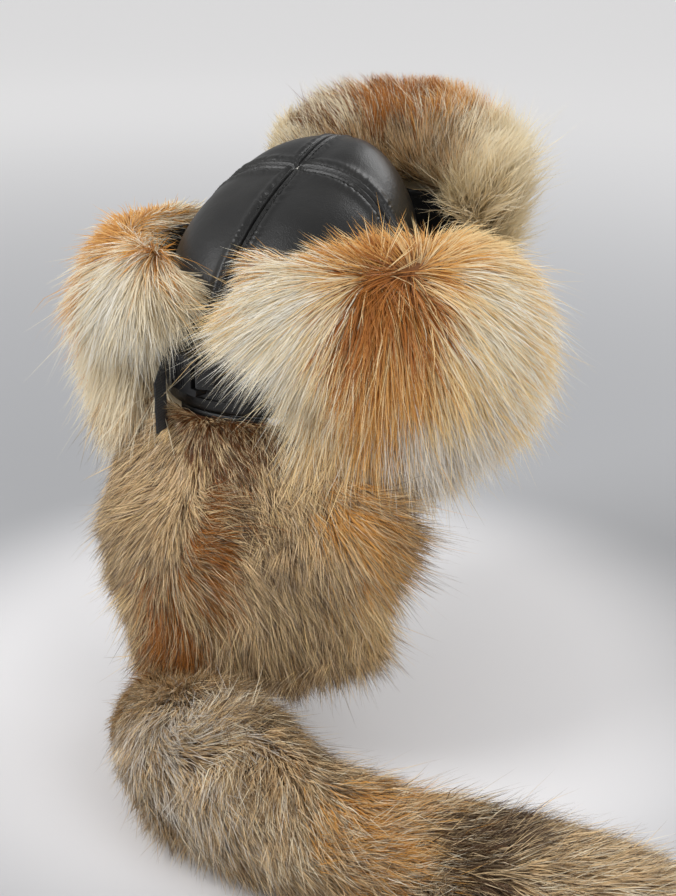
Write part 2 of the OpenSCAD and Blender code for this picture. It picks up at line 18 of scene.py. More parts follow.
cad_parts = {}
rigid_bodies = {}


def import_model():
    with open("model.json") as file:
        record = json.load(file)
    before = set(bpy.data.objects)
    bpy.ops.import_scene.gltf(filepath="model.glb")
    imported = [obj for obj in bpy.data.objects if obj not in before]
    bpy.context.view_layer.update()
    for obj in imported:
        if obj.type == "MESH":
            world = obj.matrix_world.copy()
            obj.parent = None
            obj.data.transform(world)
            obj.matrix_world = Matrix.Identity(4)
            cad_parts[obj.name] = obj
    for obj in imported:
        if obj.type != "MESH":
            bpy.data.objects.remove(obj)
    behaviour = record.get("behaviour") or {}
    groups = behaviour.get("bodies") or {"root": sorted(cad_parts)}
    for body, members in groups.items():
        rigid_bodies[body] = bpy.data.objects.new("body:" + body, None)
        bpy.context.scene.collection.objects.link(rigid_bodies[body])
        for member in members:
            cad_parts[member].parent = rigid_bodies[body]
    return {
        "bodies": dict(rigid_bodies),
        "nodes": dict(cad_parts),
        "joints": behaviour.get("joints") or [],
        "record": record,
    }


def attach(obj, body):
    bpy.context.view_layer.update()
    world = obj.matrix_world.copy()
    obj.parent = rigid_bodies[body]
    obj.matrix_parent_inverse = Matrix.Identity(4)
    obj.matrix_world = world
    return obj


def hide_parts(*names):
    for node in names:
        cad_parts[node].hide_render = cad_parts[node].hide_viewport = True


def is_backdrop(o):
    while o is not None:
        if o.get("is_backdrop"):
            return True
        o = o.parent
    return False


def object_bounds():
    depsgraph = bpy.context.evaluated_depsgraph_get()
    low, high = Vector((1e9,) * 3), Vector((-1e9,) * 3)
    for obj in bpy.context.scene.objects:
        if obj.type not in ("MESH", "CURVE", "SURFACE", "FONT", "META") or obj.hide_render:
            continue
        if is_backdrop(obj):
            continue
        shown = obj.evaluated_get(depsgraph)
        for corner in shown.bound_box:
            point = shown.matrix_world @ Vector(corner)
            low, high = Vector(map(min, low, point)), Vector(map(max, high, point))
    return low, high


LOG = logging.getLogger("trapper_hat")
MM = 0.001
Colour = tuple[float, float, float]
Array = np.ndarray
Place = tuple[float, float, float]
PlaceOn = Callable[[float, float], Place]


def from_screen(red: int, green: int, blue: int) -> Colour:
    """Turns a screen colour of 0 to 255 into the linear one that a shader takes.

    Args:
        red: The red part.
        green: The green part.
        blue: The blue part.

    Returns:
        The linear colour.
    """
    shares = (red / 255, green / 255, blue / 255)
    return tuple(c / 12.92 if c <= 0.04045 else ((c + 0.055) / 1.055) ** 2.4 for c in shares)


# ---- Camera and image points ----


@dataclass(frozen=True)
class Viewpoint:
    """The photograph's camera: behind the wearer, towards the right, from a little above."""

    turn_degrees: float = 30.0
    rise_degrees: float = 21.3
    distance: float = 1.036
    aim_right: float = 0.030
    aim_up: float = -0.061
    lens: float = 53.91
    sensor: float = 36.0
    shift_x: float = 0.0
    shift_y: float = 0.0
    frame: tuple[int, int] = (676, 896)

    def axes(self) -> tuple[Vector, Vector, Vector]:
        """Gives the camera's right, up and back as unit vectors.

        Returns:
            The three unit vectors.
        """
        turn, rise = math.radians(self.turn_degrees), math.radians(self.rise_degrees)
        back = Vector((math.sin(turn) * math.cos(rise), -math.cos(turn) * math.cos(rise), math.sin(rise)))
        right = Vector((math.cos(turn), math.sin(turn), 0.0))
        return right, back.cross(right), back

    def eye(self) -> Vector:
        """Gives where the camera stands."""
        right, up, back = self.axes()
        return back * self.distance + right * self.aim_right + up * self.aim_up

    def place(self) -> bpy.types.Object:
        """Makes the camera and sets it as the scene's.

        Returns:
            The camera object.
        """
        data = bpy.data.cameras.new("photo_camera")
        data.sensor_fit = "AUTO"
        data.sensor_width = self.sensor
        data.lens = self.lens
        data.shift_x, data.shift_y = self.shift_x, self.shift_y
        camera = bpy.data.objects.new("photo_camera", data)
        turned = Matrix(self.axes()).transposed().to_4x4()
        camera.matrix_world = Matrix.Translation(self.eye()) @ turned
        bpy.context.scene.collection.objects.link(camera)
        bpy.context.scene.camera = camera
        return camera

    def ray(self, x: float, y: float) -> Vector:
        """Gives the direction in which the camera sees an image point.

        Args:
            x: The point's place across the photograph's frame.
            y: The point's place down it.

        Returns:
            A unit vector.
        """
        width, height = self.frame
        longest = max(width, height)
        right, up, back = self.axes()
        across = x - width / 2 + self.shift_x * longest
        above = height / 2 - y + self.shift_y * longest
        return (right * across + up * above - back * (longest * self.lens / self.sensor)).normalized()

    def meet(self, point: tuple[float, float], surface: BVHTree) -> Vector:
        """Finds the place that an image point shows on what carries a piece.

        Args:
            point: The image point.
            surface: The carrier's tree.

        Returns:
            The place, or on a miss the place nearest the ray.
        """
        eye, way = self.eye(), self.ray(*point)
        hit = surface.ray_cast(eye, way)[0]
        if hit is not None:
            return hit
        found = (surface.find_nearest(eye + way * (0.5 + 0.02 * step)) for step in range(55))
        return min(found, key=lambda near: near[3])[0]

    def shown(self, places: Array) -> Array:
        """Gives where places in space show in the photograph's frame.

        Args:
            places: One row of three numbers for each place.

        Returns:
            One row of x and y for each place.
        """
        width, height = self.frame
        longest = max(width, height)
        away = places - np.array(self.eye())
        right, up, back = (np.array(axis) for axis in self.axes())
        depth = -(away @ back)
        scale = longest * self.lens / self.sensor / depth
        x = (away @ right) * scale + width / 2 - self.shift_x * longest
        y = height / 2 + self.shift_y * longest - (away @ up) * scale
        return np.stack([x, y], axis=1)


# The hat's edges and features, across and down the photograph's frame. They were read off the photograph, and
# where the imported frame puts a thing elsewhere, its point was moved. An edge's point is where misses() finds
# it, which lies up to about 17 pixels inside the fur that shows
IMAGE_POINTS: dict[str, tuple[float, float]] = {
    "hat_left": (75, 300),
    "hat_top": (400, 82),
    "crown_seams_meet": (295, 163),
    "buckle_middle": (186, 372),
    "strap_end_foot": (158, 434),
    "near_flap_right": (549, 370),
    "near_flap_whorl": (400, 268),
    "far_flap_whorl": (160, 250),
    "visor_right": (527, 220),
    "cape_right": (418, 520),
    "tail_ball_left": (114, 770),
}


def carrier(piece: bpy.types.Object) -> BVHTree:
    """Gives the tree of a piece's mesh as it stands."""
    mesh = piece.data
    return BVHTree.FromPolygons([v.co for v in mesh.vertices], [p.vertices for p in mesh.polygons])


# ---- Shader maths ----


class Socket:
    """An output socket of a node, with Python's operators for shader maths."""

    def __init__(self, tree: bpy.types.NodeTree, output: bpy.types.NodeSocket) -> None:
        """Wraps an output of a node in a tree."""
        self.tree = tree
        self.output = output

    def maths(self, operation: str, *values: "Socket | float", clamp: bool = False) -> "Socket":
        """Adds one Math node.

        Args:
            operation: The node's operation.
            values: What goes into its inputs, in order.
            clamp: Whether the result is kept from 0 to 1.

        Returns:
            The node's output.
        """
        inputs = dict(enumerate(values))
        return add_node(self.tree, "ShaderNodeMath", inputs, operation=operation, use_clamp=clamp)

    def __add__(self, other: "Socket | float") -> "Socket":
        """Adds."""
        return self.maths("ADD", self, other)

    def __radd__(self, other: float) -> "Socket":
        """Adds, with the number first."""
        return self.maths("ADD", other, self)

    def __sub__(self, other: "Socket | float") -> "Socket":
        """Takes away."""
        return self.maths("SUBTRACT", self, other)

    def __rsub__(self, other: float) -> "Socket":
        """Takes away from a number."""
        return self.maths("SUBTRACT", other, self)

    def __mul__(self, other: "Socket | float") -> "Socket":
        """Multiplies."""
        return self.maths("MULTIPLY", self, other)

    def __rmul__(self, other: float) -> "Socket":
        """Multiplies, with the number first."""
        return self.maths("MULTIPLY", other, self)

    def of(self, operation: str) -> "Socket":
        """Gives a function of the value alone, such as its sine."""
        return self.maths(operation, self)

    def rising(self, low: float, high: float) -> "Socket":
        """Gives a smooth step: 0 below the low value and 1 above the high one.

        Args:
            low: Where it starts to rise.
            high: Where it has risen.

        Returns:
            The step's output.
        """
        inputs = {"Value": self, "From Min": low, "From Max": high}
        return add_node(
            self.tree, "ShaderNodeMapRange", inputs, out="Result", interpolation_type="SMOOTHSTEP", clamp=True
        )


def add_node(
    tree: bpy.types.NodeTree, kind: str, inputs: dict, out: str | int = 0, stops: Sequence | None = None,
    **settings,
) -> Socket:
    """Adds a node: its settings first, then its inputs.

    Args:
        tree: The node tree that takes it.
        kind: The node's type.
        inputs: A value or a Socket for each input's name or number.
        out: The output that is given back.
        stops: A colour ramp's stops, each a place and a colour.
        settings: The node's own properties.

    Returns:
        The output, wrapped.
    """
    node = tree.nodes.new(kind)
    for name, value in settings.items():
        setattr(node, name, value)
    if stops:
        ramp = node.color_ramp
        while len(ramp.elements) < len(stops):
            ramp.elements.new(0.5)
        for element, (place, colour) in zip(ramp.elements, stops):
            element.position = place
            element.color = (*colour, 1.0)
    for name, value in inputs.items():
        socket = node.inputs[name]
        if isinstance(value, Socket):
            tree.links.new(value.output, socket)
        elif isinstance(value, tuple) and len(value) == 3 and socket.type == "RGBA":
            socket.default_value = (*value, 1.0)
        else:
            socket.default_value = value
    return Socket(tree, node.outputs[out])


def mix_colours(
    tree: bpy.types.NodeTree, share: "Socket | float", first: "Socket | Colour", second: "Socket | Colour"
) -> Socket:
    """Mixes two colours.

    Args:
        tree: The node tree that takes the node.
        share: How much of the second there is.
        first: The first colour.
        second: The second colour.

    Returns:
        The mixed colour.
    """
    return add_node(tree, "ShaderNodeMix", {0: share, 6: first, 7: second}, out=2, data_type="RGBA")


class Finish:
    """What every finish shares: it makes its material once and gives it to pieces."""

    name: str

    def material(self) -> bpy.types.Material:
        """Makes the material, or finds it.

        Returns:
            The material.
        """
        made = bpy.data.materials.get(self.name)
        if made is None:
            made = bpy.data.materials.new(self.name)
            made.use_nodes = True
            tree = made.node_tree
            shader = tree.nodes["Principled BSDF"]
            self.dress(tree, shader)
        return made

    def dress(self, tree: bpy.types.NodeTree, shader: bpy.types.Node) -> None:
        """Builds the finish's nodes."""
        raise NotImplementedError

    def cover(self, *pieces: bpy.types.Object) -> None:
        """Gives the finish to pieces, in place of what they had.

        Args:
            pieces: The pieces.
        """
        for piece in pieces:
            slots = piece.data.materials
            slots.clear()
            slots.append(self.material())


def link(tree: bpy.types.NodeTree, source: Socket, shader: bpy.types.Node, name: str) -> None:
    """Feeds a shader's named input."""
    tree.links.new(source.output, shader.inputs[name])


def bump(tree: bpy.types.NodeTree, height: Socket, shader: bpy.types.Node, depth: float) -> None:
    """Feeds a shader's normal from a height of 0 to 1.

    Args:
        tree: The node tree.
        height: The height.
        shader: The shader.
        depth: How deep a height of 1 is, in metres.
    """
    inputs = {"Strength": 1.0, "Distance": depth, "Height": height}
    made = add_node(tree, "ShaderNodeBump", inputs, out="Normal")
    link(tree, made, shader, "Normal")


def object_place(tree: bpy.types.NodeTree) -> Socket:
    """Gives a piece's own coordinates."""
    return add_node(tree, "ShaderNodeTexCoord", {}, out="Object")


def axes_of(tree: bpy.types.NodeTree, place: Socket) -> tuple[Socket, Socket, Socket]:
    """Gives a vector's x, y and z."""
    outputs = add_node(tree, "ShaderNodeSeparateXYZ", {0: place}).output.node.outputs
    return tuple(Socket(tree, outputs[axis]) for axis in "XYZ")


def noise(tree: bpy.types.NodeTree, place: Socket, scale: float, detail: float = 3.0) -> Socket:
    """Gives noise of 0 to 1 with so many features a metre."""
    inputs = {"Vector": place, "Scale": scale, "Detail": detail}
    return add_node(tree, "ShaderNodeTexNoise", inputs, out="Fac")


@dataclass(frozen=True)
class LeatherFinish(Finish):
    """Smooth dyed leather: fine pebbled grain, slack creases, and a satin face that varies."""

    name: str = "black_nappa"
    colour: Colour = from_screen(19, 19, 19)
    worn: Colour = from_screen(31, 30, 28)
    roughness: float = 0.35
    grain_scale: float = 900.0
    grain_depth: float = 0.00010
    crease_depth: float = 0.0009

    def dress(self, tree: bpy.types.NodeTree, shader: bpy.types.Node) -> None:
        """Builds the finish's nodes.

        Args:
            tree: The material's node tree.
            shader: Its shader.
        """
        place = object_place(tree)
        grain = {"Vector": place, "Scale": self.grain_scale}
        cells = add_node(tree, "ShaderNodeTexVoronoi", grain, out="Distance")
        slack = noise(tree, place, 38.0, 4.0)
        blotch = noise(tree, place, 14.0, 5.0)
        pores = noise(tree, place, 2400.0, 2.0)
        colour = mix_colours(tree, blotch.rising(0.42, 0.72), self.colour, self.worn)
        link(tree, colour, shader, "Base Color")
        link(tree, self.roughness - 0.06 + blotch * 0.14 + pores * 0.05, shader, "Roughness")
        shader.inputs["Specular IOR Level"].default_value = 0.5
        share = self.grain_depth / self.crease_depth
        bump(tree, slack + cells * share + pores * (0.3 * share), shader, self.crease_depth)


@dataclass(frozen=True)
class ClothFinish(Finish):
    """A woven cloth: two sets of threads round the hat and up it."""

    name: str
    colour: Colour
    light: Colour
    pitch: float = 0.0006
    depth: float = 0.00025
    roughness: float = 0.7
    sheen: float = 0.25
    around: float = 0.1

    def dress(self, tree: bpy.types.NodeTree, shader: bpy.types.Node) -> None:
        """Builds the finish's nodes.

        Args:
            tree: The material's node tree.
            shader: Its shader.
        """
        place = object_place(tree)
        x, y, z = axes_of(tree, place)
        turn = x.maths("ARCTAN2", y, x)
        per_metre = 2 * math.pi / self.pitch
        warp = (turn * (self.around * per_metre)).of("SINE")
        weft = (z * per_metre).of("SINE")
        weave = 0.5 + 0.25 * (warp * weft) + 0.25 * (warp.of("ABSOLUTE") - weft.of("ABSOLUTE"))
        wear = noise(tree, place, 60.0, 4.0)
        colour = mix_colours(tree, weave * 0.6 + wear * 0.4, self.colour, self.light)
        link(tree, colour, shader, "Base Color")
        link(tree, self.roughness - 0.1 + 0.2 * wear, shader, "Roughness")
        shader.inputs["Sheen Weight"].default_value = self.sheen
        shader.inputs["Sheen Roughness"].default_value = 0.4
        bump(tree, weave, shader, self.depth)


@dataclass(frozen=True)
class WebbingFinish(Finish):
    """Ribbed webbing: cords along the strap, crossed by finer picks."""

    name: str = "black_webbing"
    colour: Colour = from_screen(12, 12, 13)
    light: Colour = from_screen(34, 35, 37)
    rib_pitch: float = 0.0020
    pick_pitch: float = 0.0009

    def dress(self, tree: bpy.types.NodeTree, shader: bpy.types.Node) -> None:
        """Builds the finish's nodes.

        Args:
            tree: The material's node tree.
            shader: Its shader.
        """
        place = object_place(tree)
        x, y, z = axes_of(tree, place)
        ribs = (z * (2 * math.pi / self.rib_pitch)).of("SINE")
        way = (x - y) * (2 * math.pi / self.pick_pitch)
        picks = (way + ribs * 1.4).of("SINE")
        weave = 0.5 + 0.28 * ribs + 0.22 * picks
        fuzz = noise(tree, place, 900.0, 2.0)
        link(tree, mix_colours(tree, weave * 0.7 + fuzz * 0.3, self.colour, self.light), shader, "Base Color")
        link(tree, 0.62 + 0.2 * fuzz, shader, "Roughness")
        shader.inputs["Sheen Weight"].default_value = 0.15
        bump(tree, weave, shader, 0.0004)


@dataclass(frozen=True)
class PlasticFinish(Finish):
    """Moulded acetal: even black with a fine spark-eroded face."""

    name: str = "black_acetal"
    colour: Colour = from_screen(11, 11, 12)
    scuffed: Colour = from_screen(24, 24, 25)
    roughness: float = 0.42

    def dress(self, tree: bpy.types.NodeTree, shader: bpy.types.Node) -> None:
        """Builds the finish's nodes.

        Args:
            tree: The material's node tree.
            shader: Its shader.
        """
        place = object_place(tree)
        fine = noise(tree, place, 3500.0, 2.0)
        scuff = noise(tree, place, 160.0, 5.0)
        colour = mix_colours(tree, scuff.rising(0.5, 0.8), self.colour, self.scuffed)
        link(tree, colour, shader, "Base Color")
        link(tree, self.roughness - 0.05 + 0.12 * scuff, shader, "Roughness")
        bump(tree, fine, shader, 0.00003)


@dataclass(frozen=True)
class ThreadFinish(Finish):
    """Twisted bonded thread."""

    name: str = "black_thread"
    colour: Colour = from_screen(20, 20, 20)
    light: Colour = from_screen(52, 51, 49)

    def dress(self, tree: bpy.types.NodeTree, shader: bpy.types.Node) -> None:
        """Builds the finish's nodes.

        Args:
            tree: The material's node tree.
            shader: Its shader.
        """
        twist = noise(tree, object_place(tree), 2600.0, 1.0)
        link(tree, mix_colours(tree, twist, self.colour, self.light), shader, "Base Color")
        link(tree, 0.45 + 0.15 * twist, shader, "Roughness")
        bump(tree, twist, shader, 0.00015)


@dataclass(frozen=True)
class FeltFinish(Finish):
    """A matted layer of fibres, as wadding, interlining and the flesh side of a skin are."""

    name: str
    colour: Colour
    dark: Colour
    scale: float = 500.0
    depth: float = 0.0006

    def dress(self, tree: bpy.types.NodeTree, shader: bpy.types.Node) -> None:
        """Builds the finish's nodes.

        Args:
            tree: The material's node tree.
            shader: Its shader.
        """
        place = object_place(tree)
        fibres = noise(tree, place, self.scale, 5.0)
        lumps = noise(tree, place, self.scale / 12, 3.0)
        colour = mix_colours(tree, fibres * 0.6 + lumps * 0.4, self.dark, self.colour)
        link(tree, colour, shader, "Base Color")
        link(tree, 0.8 + 0.15 * fibres, shader, "Roughness")
        shader.inputs["Sheen Weight"].default_value = 0.2
        bump(tree, fibres * 0.5 + lumps * 0.5, shader, self.depth)


class Tone(float, Enum):
    """Places of the hair's colours along the tone path, from white to pale grey."""

    WHITE = 0.0
    CREAM = 0.12
    STRAW = 0.25
    GOLD = 0.38
    RUST = 0.50
    BROWN = 0.62
    DARK = 0.74
    GRIZZLE = 0.87
    GREY = 1.0


@dataclass(frozen=True)
class HairFinish(Finish):
    """Fox hair: the tone path runs across the map, and root to tip runs up it."""

    name: str = "fox_hair"
    roots: tuple[Colour, ...] = (
        from_screen(250, 243, 228), from_screen(242, 227, 194), from_screen(226, 193, 140),
        from_screen(188, 132, 70), from_screen(122, 74, 32), from_screen(84, 50, 25),
        from_screen(58, 44, 32), from_screen(178, 142, 102), from_screen(196, 188, 174),
    )
    middles: tuple[Colour, ...] = (
        from_screen(255, 251, 240), from_screen(251, 237, 206), from_screen(247, 216, 158),
        from_screen(228, 168, 86), from_screen(176, 106, 42), from_screen(118, 70, 31),
        from_screen(80, 60, 43), from_screen(244, 212, 162), from_screen(234, 226, 214),
    )
    tips: tuple[Colour, ...] = (
        from_screen(255, 254, 246), from_screen(255, 245, 218), from_screen(252, 226, 170),
        from_screen(238, 180, 98), from_screen(198, 128, 56), from_screen(142, 92, 46),
        from_screen(48, 37, 29), from_screen(108, 82, 57), from_screen(246, 242, 234),
    )
    roughness: float = 0.46

    def dress(self, tree: bpy.types.NodeTree, shader: bpy.types.Node) -> None:
        """Builds the finish's nodes.

        Args:
            tree: The material's node tree.
            shader: Its shader.
        """
        spot = add_node(tree, "ShaderNodeUVMap", {}, uv_map="OFBake")
        tone, along, _ = axes_of(tree, spot)
        places = [float(place.value) for place in Tone]
        root, middle, tip = (
            add_node(tree, "ShaderNodeValToRGB", {"Fac": tone}, out="Color", stops=list(zip(places, colours)))
            for colours in (self.roots, self.middles, self.tips)
        )
        lower = mix_colours(tree, along.rising(0.12, 0.5), root, middle)
        link(tree, mix_colours(tree, along.rising(0.66, 0.96), lower, tip), shader, "Base Color")
        shader.inputs["Roughness"].default_value = self.roughness
        shader.inputs["Specular IOR Level"].default_value = 0.35


# ---- Meshes ----


def new_piece(name: str, mesh: bpy.types.Mesh, body: str, slot: str) -> bpy.types.Object:
    """Puts a finished mesh in the scene as a piece.

    Args:
        name: The piece's name.
        mesh: Its mesh, already in place.
        body: The body that it rides on.
        slot: The record's material slot; it is not used.

    Returns:
        The piece.
    """
    piece = bpy.data.objects.new(name, mesh)
    bpy.context.scene.collection.objects.link(piece)
    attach(piece, body)
    return piece


def mesh_from(shape: bmesh.types.BMesh, name: str, smooth: bool = True) -> bpy.types.Mesh:
    """Turns a bmesh into a mesh and frees it.

    Args:
        shape: The bmesh.
        name: The mesh's name.
        smooth: Whether its faces are shaded smooth.

    Returns:
        The mesh.
    """
    for face in shape.faces:
        face.smooth = smooth
    mesh = bpy.data.meshes.new(name)
    shape.to_mesh(mesh)
    shape.free()
    return mesh


def laid_grid(
    columns: int, rows: int, place: PlaceOn, outward: Callable[[Vector], Vector]
) -> bmesh.types.BMesh:
    """Lays a grid over a surface.

    Args:
        columns: How many faces it has across.
        rows: How many it has up.
        place: Gives a point of the surface for shares across and up.
        outward: Gives roughly which way is out at a place.

    Returns:
        The grid, with its seams and poles closed and its faces outwards.
    """
    shape = bmesh.new()
    bmesh.ops.create_grid(shape, x_segments=columns, y_segments=rows, size=0.5)
    for vertex in shape.verts:
        vertex.co = place(min(max(vertex.co.x + 0.5, 0.0), 1.0), min(max(vertex.co.y + 0.5, 0.0), 1.0))
    bmesh.ops.remove_doubles(shape, verts=shape.verts, dist=0.00002)
    shape.normal_update()
    facing = sum(
        face.normal.dot(outward(face.calc_center_median())) * face.calc_area() for face in shape.faces
    )
    if facing < 0:
        bmesh.ops.reverse_faces(shape, faces=shape.faces)
    return shape


def thicken(piece: bpy.types.Object, thickness: float) -> None:
    """Gives a sheet its thickness, on its inner side.

    Args:
        piece: The sheet.
        thickness: Its thickness, in metres.
    """
    solid = piece.modifiers.new("thickness", "SOLIDIFY")
    solid.thickness = thickness
    solid.offset = -1.0


def stand_in(
    name: str, shape: bmesh.types.BMesh, body: str, slot: str, node: str, finish: Finish,
    thickness: float = 0.0,
) -> bpy.types.Object:
    """Makes a built shape the piece that takes a node's place.

    Args:
        name: The piece's name.
        shape: Its shape.
        body: The body that it rides on.
        slot: The record's material slot, passed on to new_piece, which does not use it.
        node: The node that it replaces.
        finish: What it is dressed in.
        thickness: How thick it is, in metres, or 0 where the shape is its whole skin.

    Returns:
        The piece.
    """
    piece = new_piece(name, mesh_from(shape, name), body, slot)
    if thickness:
        thicken(piece, thickness)
    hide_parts(node)
    finish.cover(piece)
    return piece


def soften_edges(piece: bpy.types.Object, width: float, segments: int = 2) -> None:
    """Rounds a carried-over node's edges.

    Args:
        piece: The node's object.
        width: How wide the rounding is, in metres.
        segments: How many faces it has across.
    """
    weld = piece.modifiers.new("weld", "WELD")
    weld.merge_threshold = 0.00001
    rounded = piece.modifiers.new("rounded_edges", "BEVEL")
    rounded.width = width
    rounded.segments = segments
    rounded.limit_method = "ANGLE"
    rounded.angle_limit = math.radians(38)
    rounded.harden_normals = False


def sew(
    name: str, body: str, path: Sequence[tuple[Vector, Vector]], stitch: float = 0.0030, gap: float = 0.0012,
    thickness: float = 0.00050,
) -> bpy.types.Object:
    """Sews a row of stitches along a line on a surface.

    Args:
        name: The piece's name.
        body: The body that it rides on.
        path: Close points along the line, each with the surface's normal there.
        stitch: Length of one stitch.
        gap: Length of the gap after it.
        thickness: Half the thread's thickness.

    Returns:
        The piece.
    """
    shape = bmesh.new()
    travelled, goal = 0.0, 0.0
    for (here, normal), (there, _) in zip(path, path[1:]):
        step = (there - here).length
        while step > 0 and goal <= travelled + step:
            middle = here.lerp(there, (goal - travelled) / step)
            along = (there - here).normalized()
            side = normal.cross(along).normalized()
            turned = Matrix((along, side, along.cross(side))).transposed().to_4x4()
            sized = Matrix.Diagonal((stitch / 2, thickness, thickness, 1.0))
            bmesh.ops.create_uvsphere(
                shape, u_segments=6, v_segments=4, radius=1.0,
                matrix=Matrix.Translation(middle) @ turned @ sized @ Matrix.Rotation(math.pi / 2, 4, "Y"),
            )
            goal += stitch + gap
        travelled += step
    piece = new_piece(name, mesh_from(shape, name), body, "black_leather")
    ThreadFinish().cover(piece)
    return piece


# ---- Crown ----


@dataclass(frozen=True)
class Crown:
    """The leather crown, its band, binding, lining and sweatband. Sizes in millimetres, rises in radians."""

    half_width: float = 95.0
    half_length: float = 112.0
    height: float = 155.0
    fullness: float = 2.9
    front_rise: float = 49.0
    swell: float = 3.0
    band_height: float = 70.0
    leather: float = 1.2
    lining_face: float = -5.7
    sweatband_face: float = -6.75
    sweatband_height: float = 32.0
    binding_height: float = 8.0
    top_rise: float = math.pi / 2
    stitch_off: float = 4.2
    rim_middle: float = 98.5

    def rise_at(self, z: float) -> float:
        """Gives the rise of the crown's curve at a height."""
        return math.asin(min(1.0, (max(z, 0.0) / self.height) ** (self.fullness / 2)))

    def curve(self, rise: float) -> tuple[float, float]:
        """Gives how far out and how high the crown's curve is at a rise, each as a share."""
        return max(math.cos(rise), 0.0) ** (2 / self.fullness), math.sin(rise) ** (2 / self.fullness)

    def point(self, turn: float, rise: float, out: float) -> Place:
        """Gives a point of the crown.

        Args:
            turn: How far round it is from the wearer's right.
            rise: How far up its curve, from 0 at the rim to a right angle on top.
            out: How far out from the leather's face, in millimetres.

        Returns:
            The point, in metres.
        """
        reach, climb = self.curve(rise)
        low = self.rise_at(self.band_height)
        fill = math.sin(math.pi * (max(rise, low) - low) / (math.pi / 2 - low))
        puffed = out + self.swell * abs(math.sin(2 * turn)) * fill
        return (
            (self.half_width + puffed) * reach * math.cos(turn) * MM,
            (self.half_length + puffed) * reach * math.sin(turn) * MM,
            ((self.height + puffed) * climb + self.front_rise * math.sin(turn) * reach * climb**2) * MM,
        )

    def ring_point(self, turn: float, z: float, out: float) -> Place:
        """Gives a point of the band at a height, as point() does at a rise.

        Args:
            turn: How far round it is from the wearer's right.
            z: How high it is, in millimetres.
            out: How far out from the leather's face, in millimetres.

        Returns:
            The point, in metres.
        """
        rise = self.rise_at(z)
        reach, climb = self.curve(rise)
        return (
            (self.half_width + out) * reach * math.cos(turn) * MM,
            (self.half_length + out) * reach * math.sin(turn) * MM,
            (z + self.front_rise * math.sin(turn) * reach * climb**2) * MM,
        )

    def from_seam(self, turn: float, rise: float) -> float:
        """Gives how far a place is from the nearest seam between gores, in millimetres.

        Args:
            turn: How far round it is from the wearer's right.
            rise: How far up the curve it is.

        Returns:
            The distance.
        """
        quarter = turn % (math.pi / 2)
        nearest = min(quarter, math.pi / 2 - quarter)
        return nearest * self.curve(rise)[0] * (self.half_width + self.half_length) / 2

    def relief(self, turn: float, rise: float) -> float:
        """Gives how the sewn and padded leather stands out from its smooth face, in millimetres.

        Args:
            turn: How far round it is from the wearer's right.
            rise: How far up the curve it is.

        Returns:
            How far it stands out.
        """
        away = self.from_seam(turn, rise)
        seam = round(turn / (math.pi / 2)) % 4
        along = rise * self.height
        groove = -1.9 * math.exp(-((away / 1.1) ** 2))
        sewn = -0.75 * math.exp(-(((away - self.stitch_off) / 0.9) ** 2))
        padded = 1.5 * math.exp(-(((away - 2.2) / 1.1) ** 2)) + 1.2 * math.exp(-(((away - 8.0) / 3.2) ** 2))
        pitch = 1.0 + 0.25 * math.sin(along / 17.0 + seam * 2.1)
        pucker = 0.5 * math.sin(along / 1.35 * pitch + seam * 1.7 + away * 0.12)
        pucker *= math.exp(-(((away - 7.0) / 4.5) ** 2)) * (0.65 + 0.35 * math.sin(along / 9.0 + seam))
        slack = 0.7 * math.sin(3.1 * turn + 4.0 * rise + 1.3 * math.sin(5.0 * rise))
        slack *= 1 - math.exp(-((away / 16.0) ** 2))
        return groove + sewn + padded + pucker + slack

    def gore(self, name: str, first_degrees: float) -> bpy.types.Object:
        """Builds one gore of the crown, over its node's place.

        Args:
            name: The node that it replaces.
            first_degrees: Where it starts, round from the wearer's right.

        Returns:
            The piece.
        """
        first = math.radians(first_degrees)
        start = self.rise_at(self.band_height + 0.4)
        small = 0.0004

        def place(s: float, k: float) -> Place:
            """Gives a point of the gore.

            Args:
                s: The share across the gore.
                k: The share up it.

            Returns:
                The point, in metres.
            """
            across = 0.25 * s + 0.75 * (0.5 - 0.5 * math.cos(math.pi * s))
            turn = first + small + (math.pi / 2 - 2 * small) * across
            rise = start + (self.top_rise - start) * k
            hem = -1.0 * math.exp(-((k / 0.02) ** 2))
            return self.point(turn, rise, self.relief(turn, rise) + hem)

        shape = laid_grid(72, 110, place, lambda at: at - Vector((0, 0, 0.03)))
        piece = new_piece(name.replace("panel", "gore"), mesh_from(shape, name), "crown", "black_leather")
        thicken(piece, self.leather * MM)
        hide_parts(name)
        LeatherFinish().cover(piece)
        return piece

    def seam_row(self, name: str, seam_degrees: float, side: int) -> bpy.types.Object:
        """Sews a row of topstitches beside a seam.

        Args:
            name: The piece's name.
            seam_degrees: Where the seam is, round from the wearer's right.
            side: 1 or -1, for the side of the seam.

        Returns:
            The piece.
        """
        seam = math.radians(seam_degrees)
        start = self.rise_at(self.band_height + 2)
        path = []
        for k in range(400):
            rise = start + (math.radians(86.5) - start) * k / 399
            reach = self.curve(rise)[0]
            turn = seam + side * self.stitch_off / (reach * (self.half_width + self.half_length) / 2)
            here = Vector(self.point(turn, rise, self.relief(turn, rise) + 0.30))
            out = Vector(self.point(turn, rise, 6.0)) - Vector(self.point(turn, rise, 0.0))
            path.append((here, out.normalized()))
        return sew(name, "crown", path)

    def band(self) -> bpy.types.Object:
        """Builds the leather band below the gores.

        Returns:
            The piece.
        """

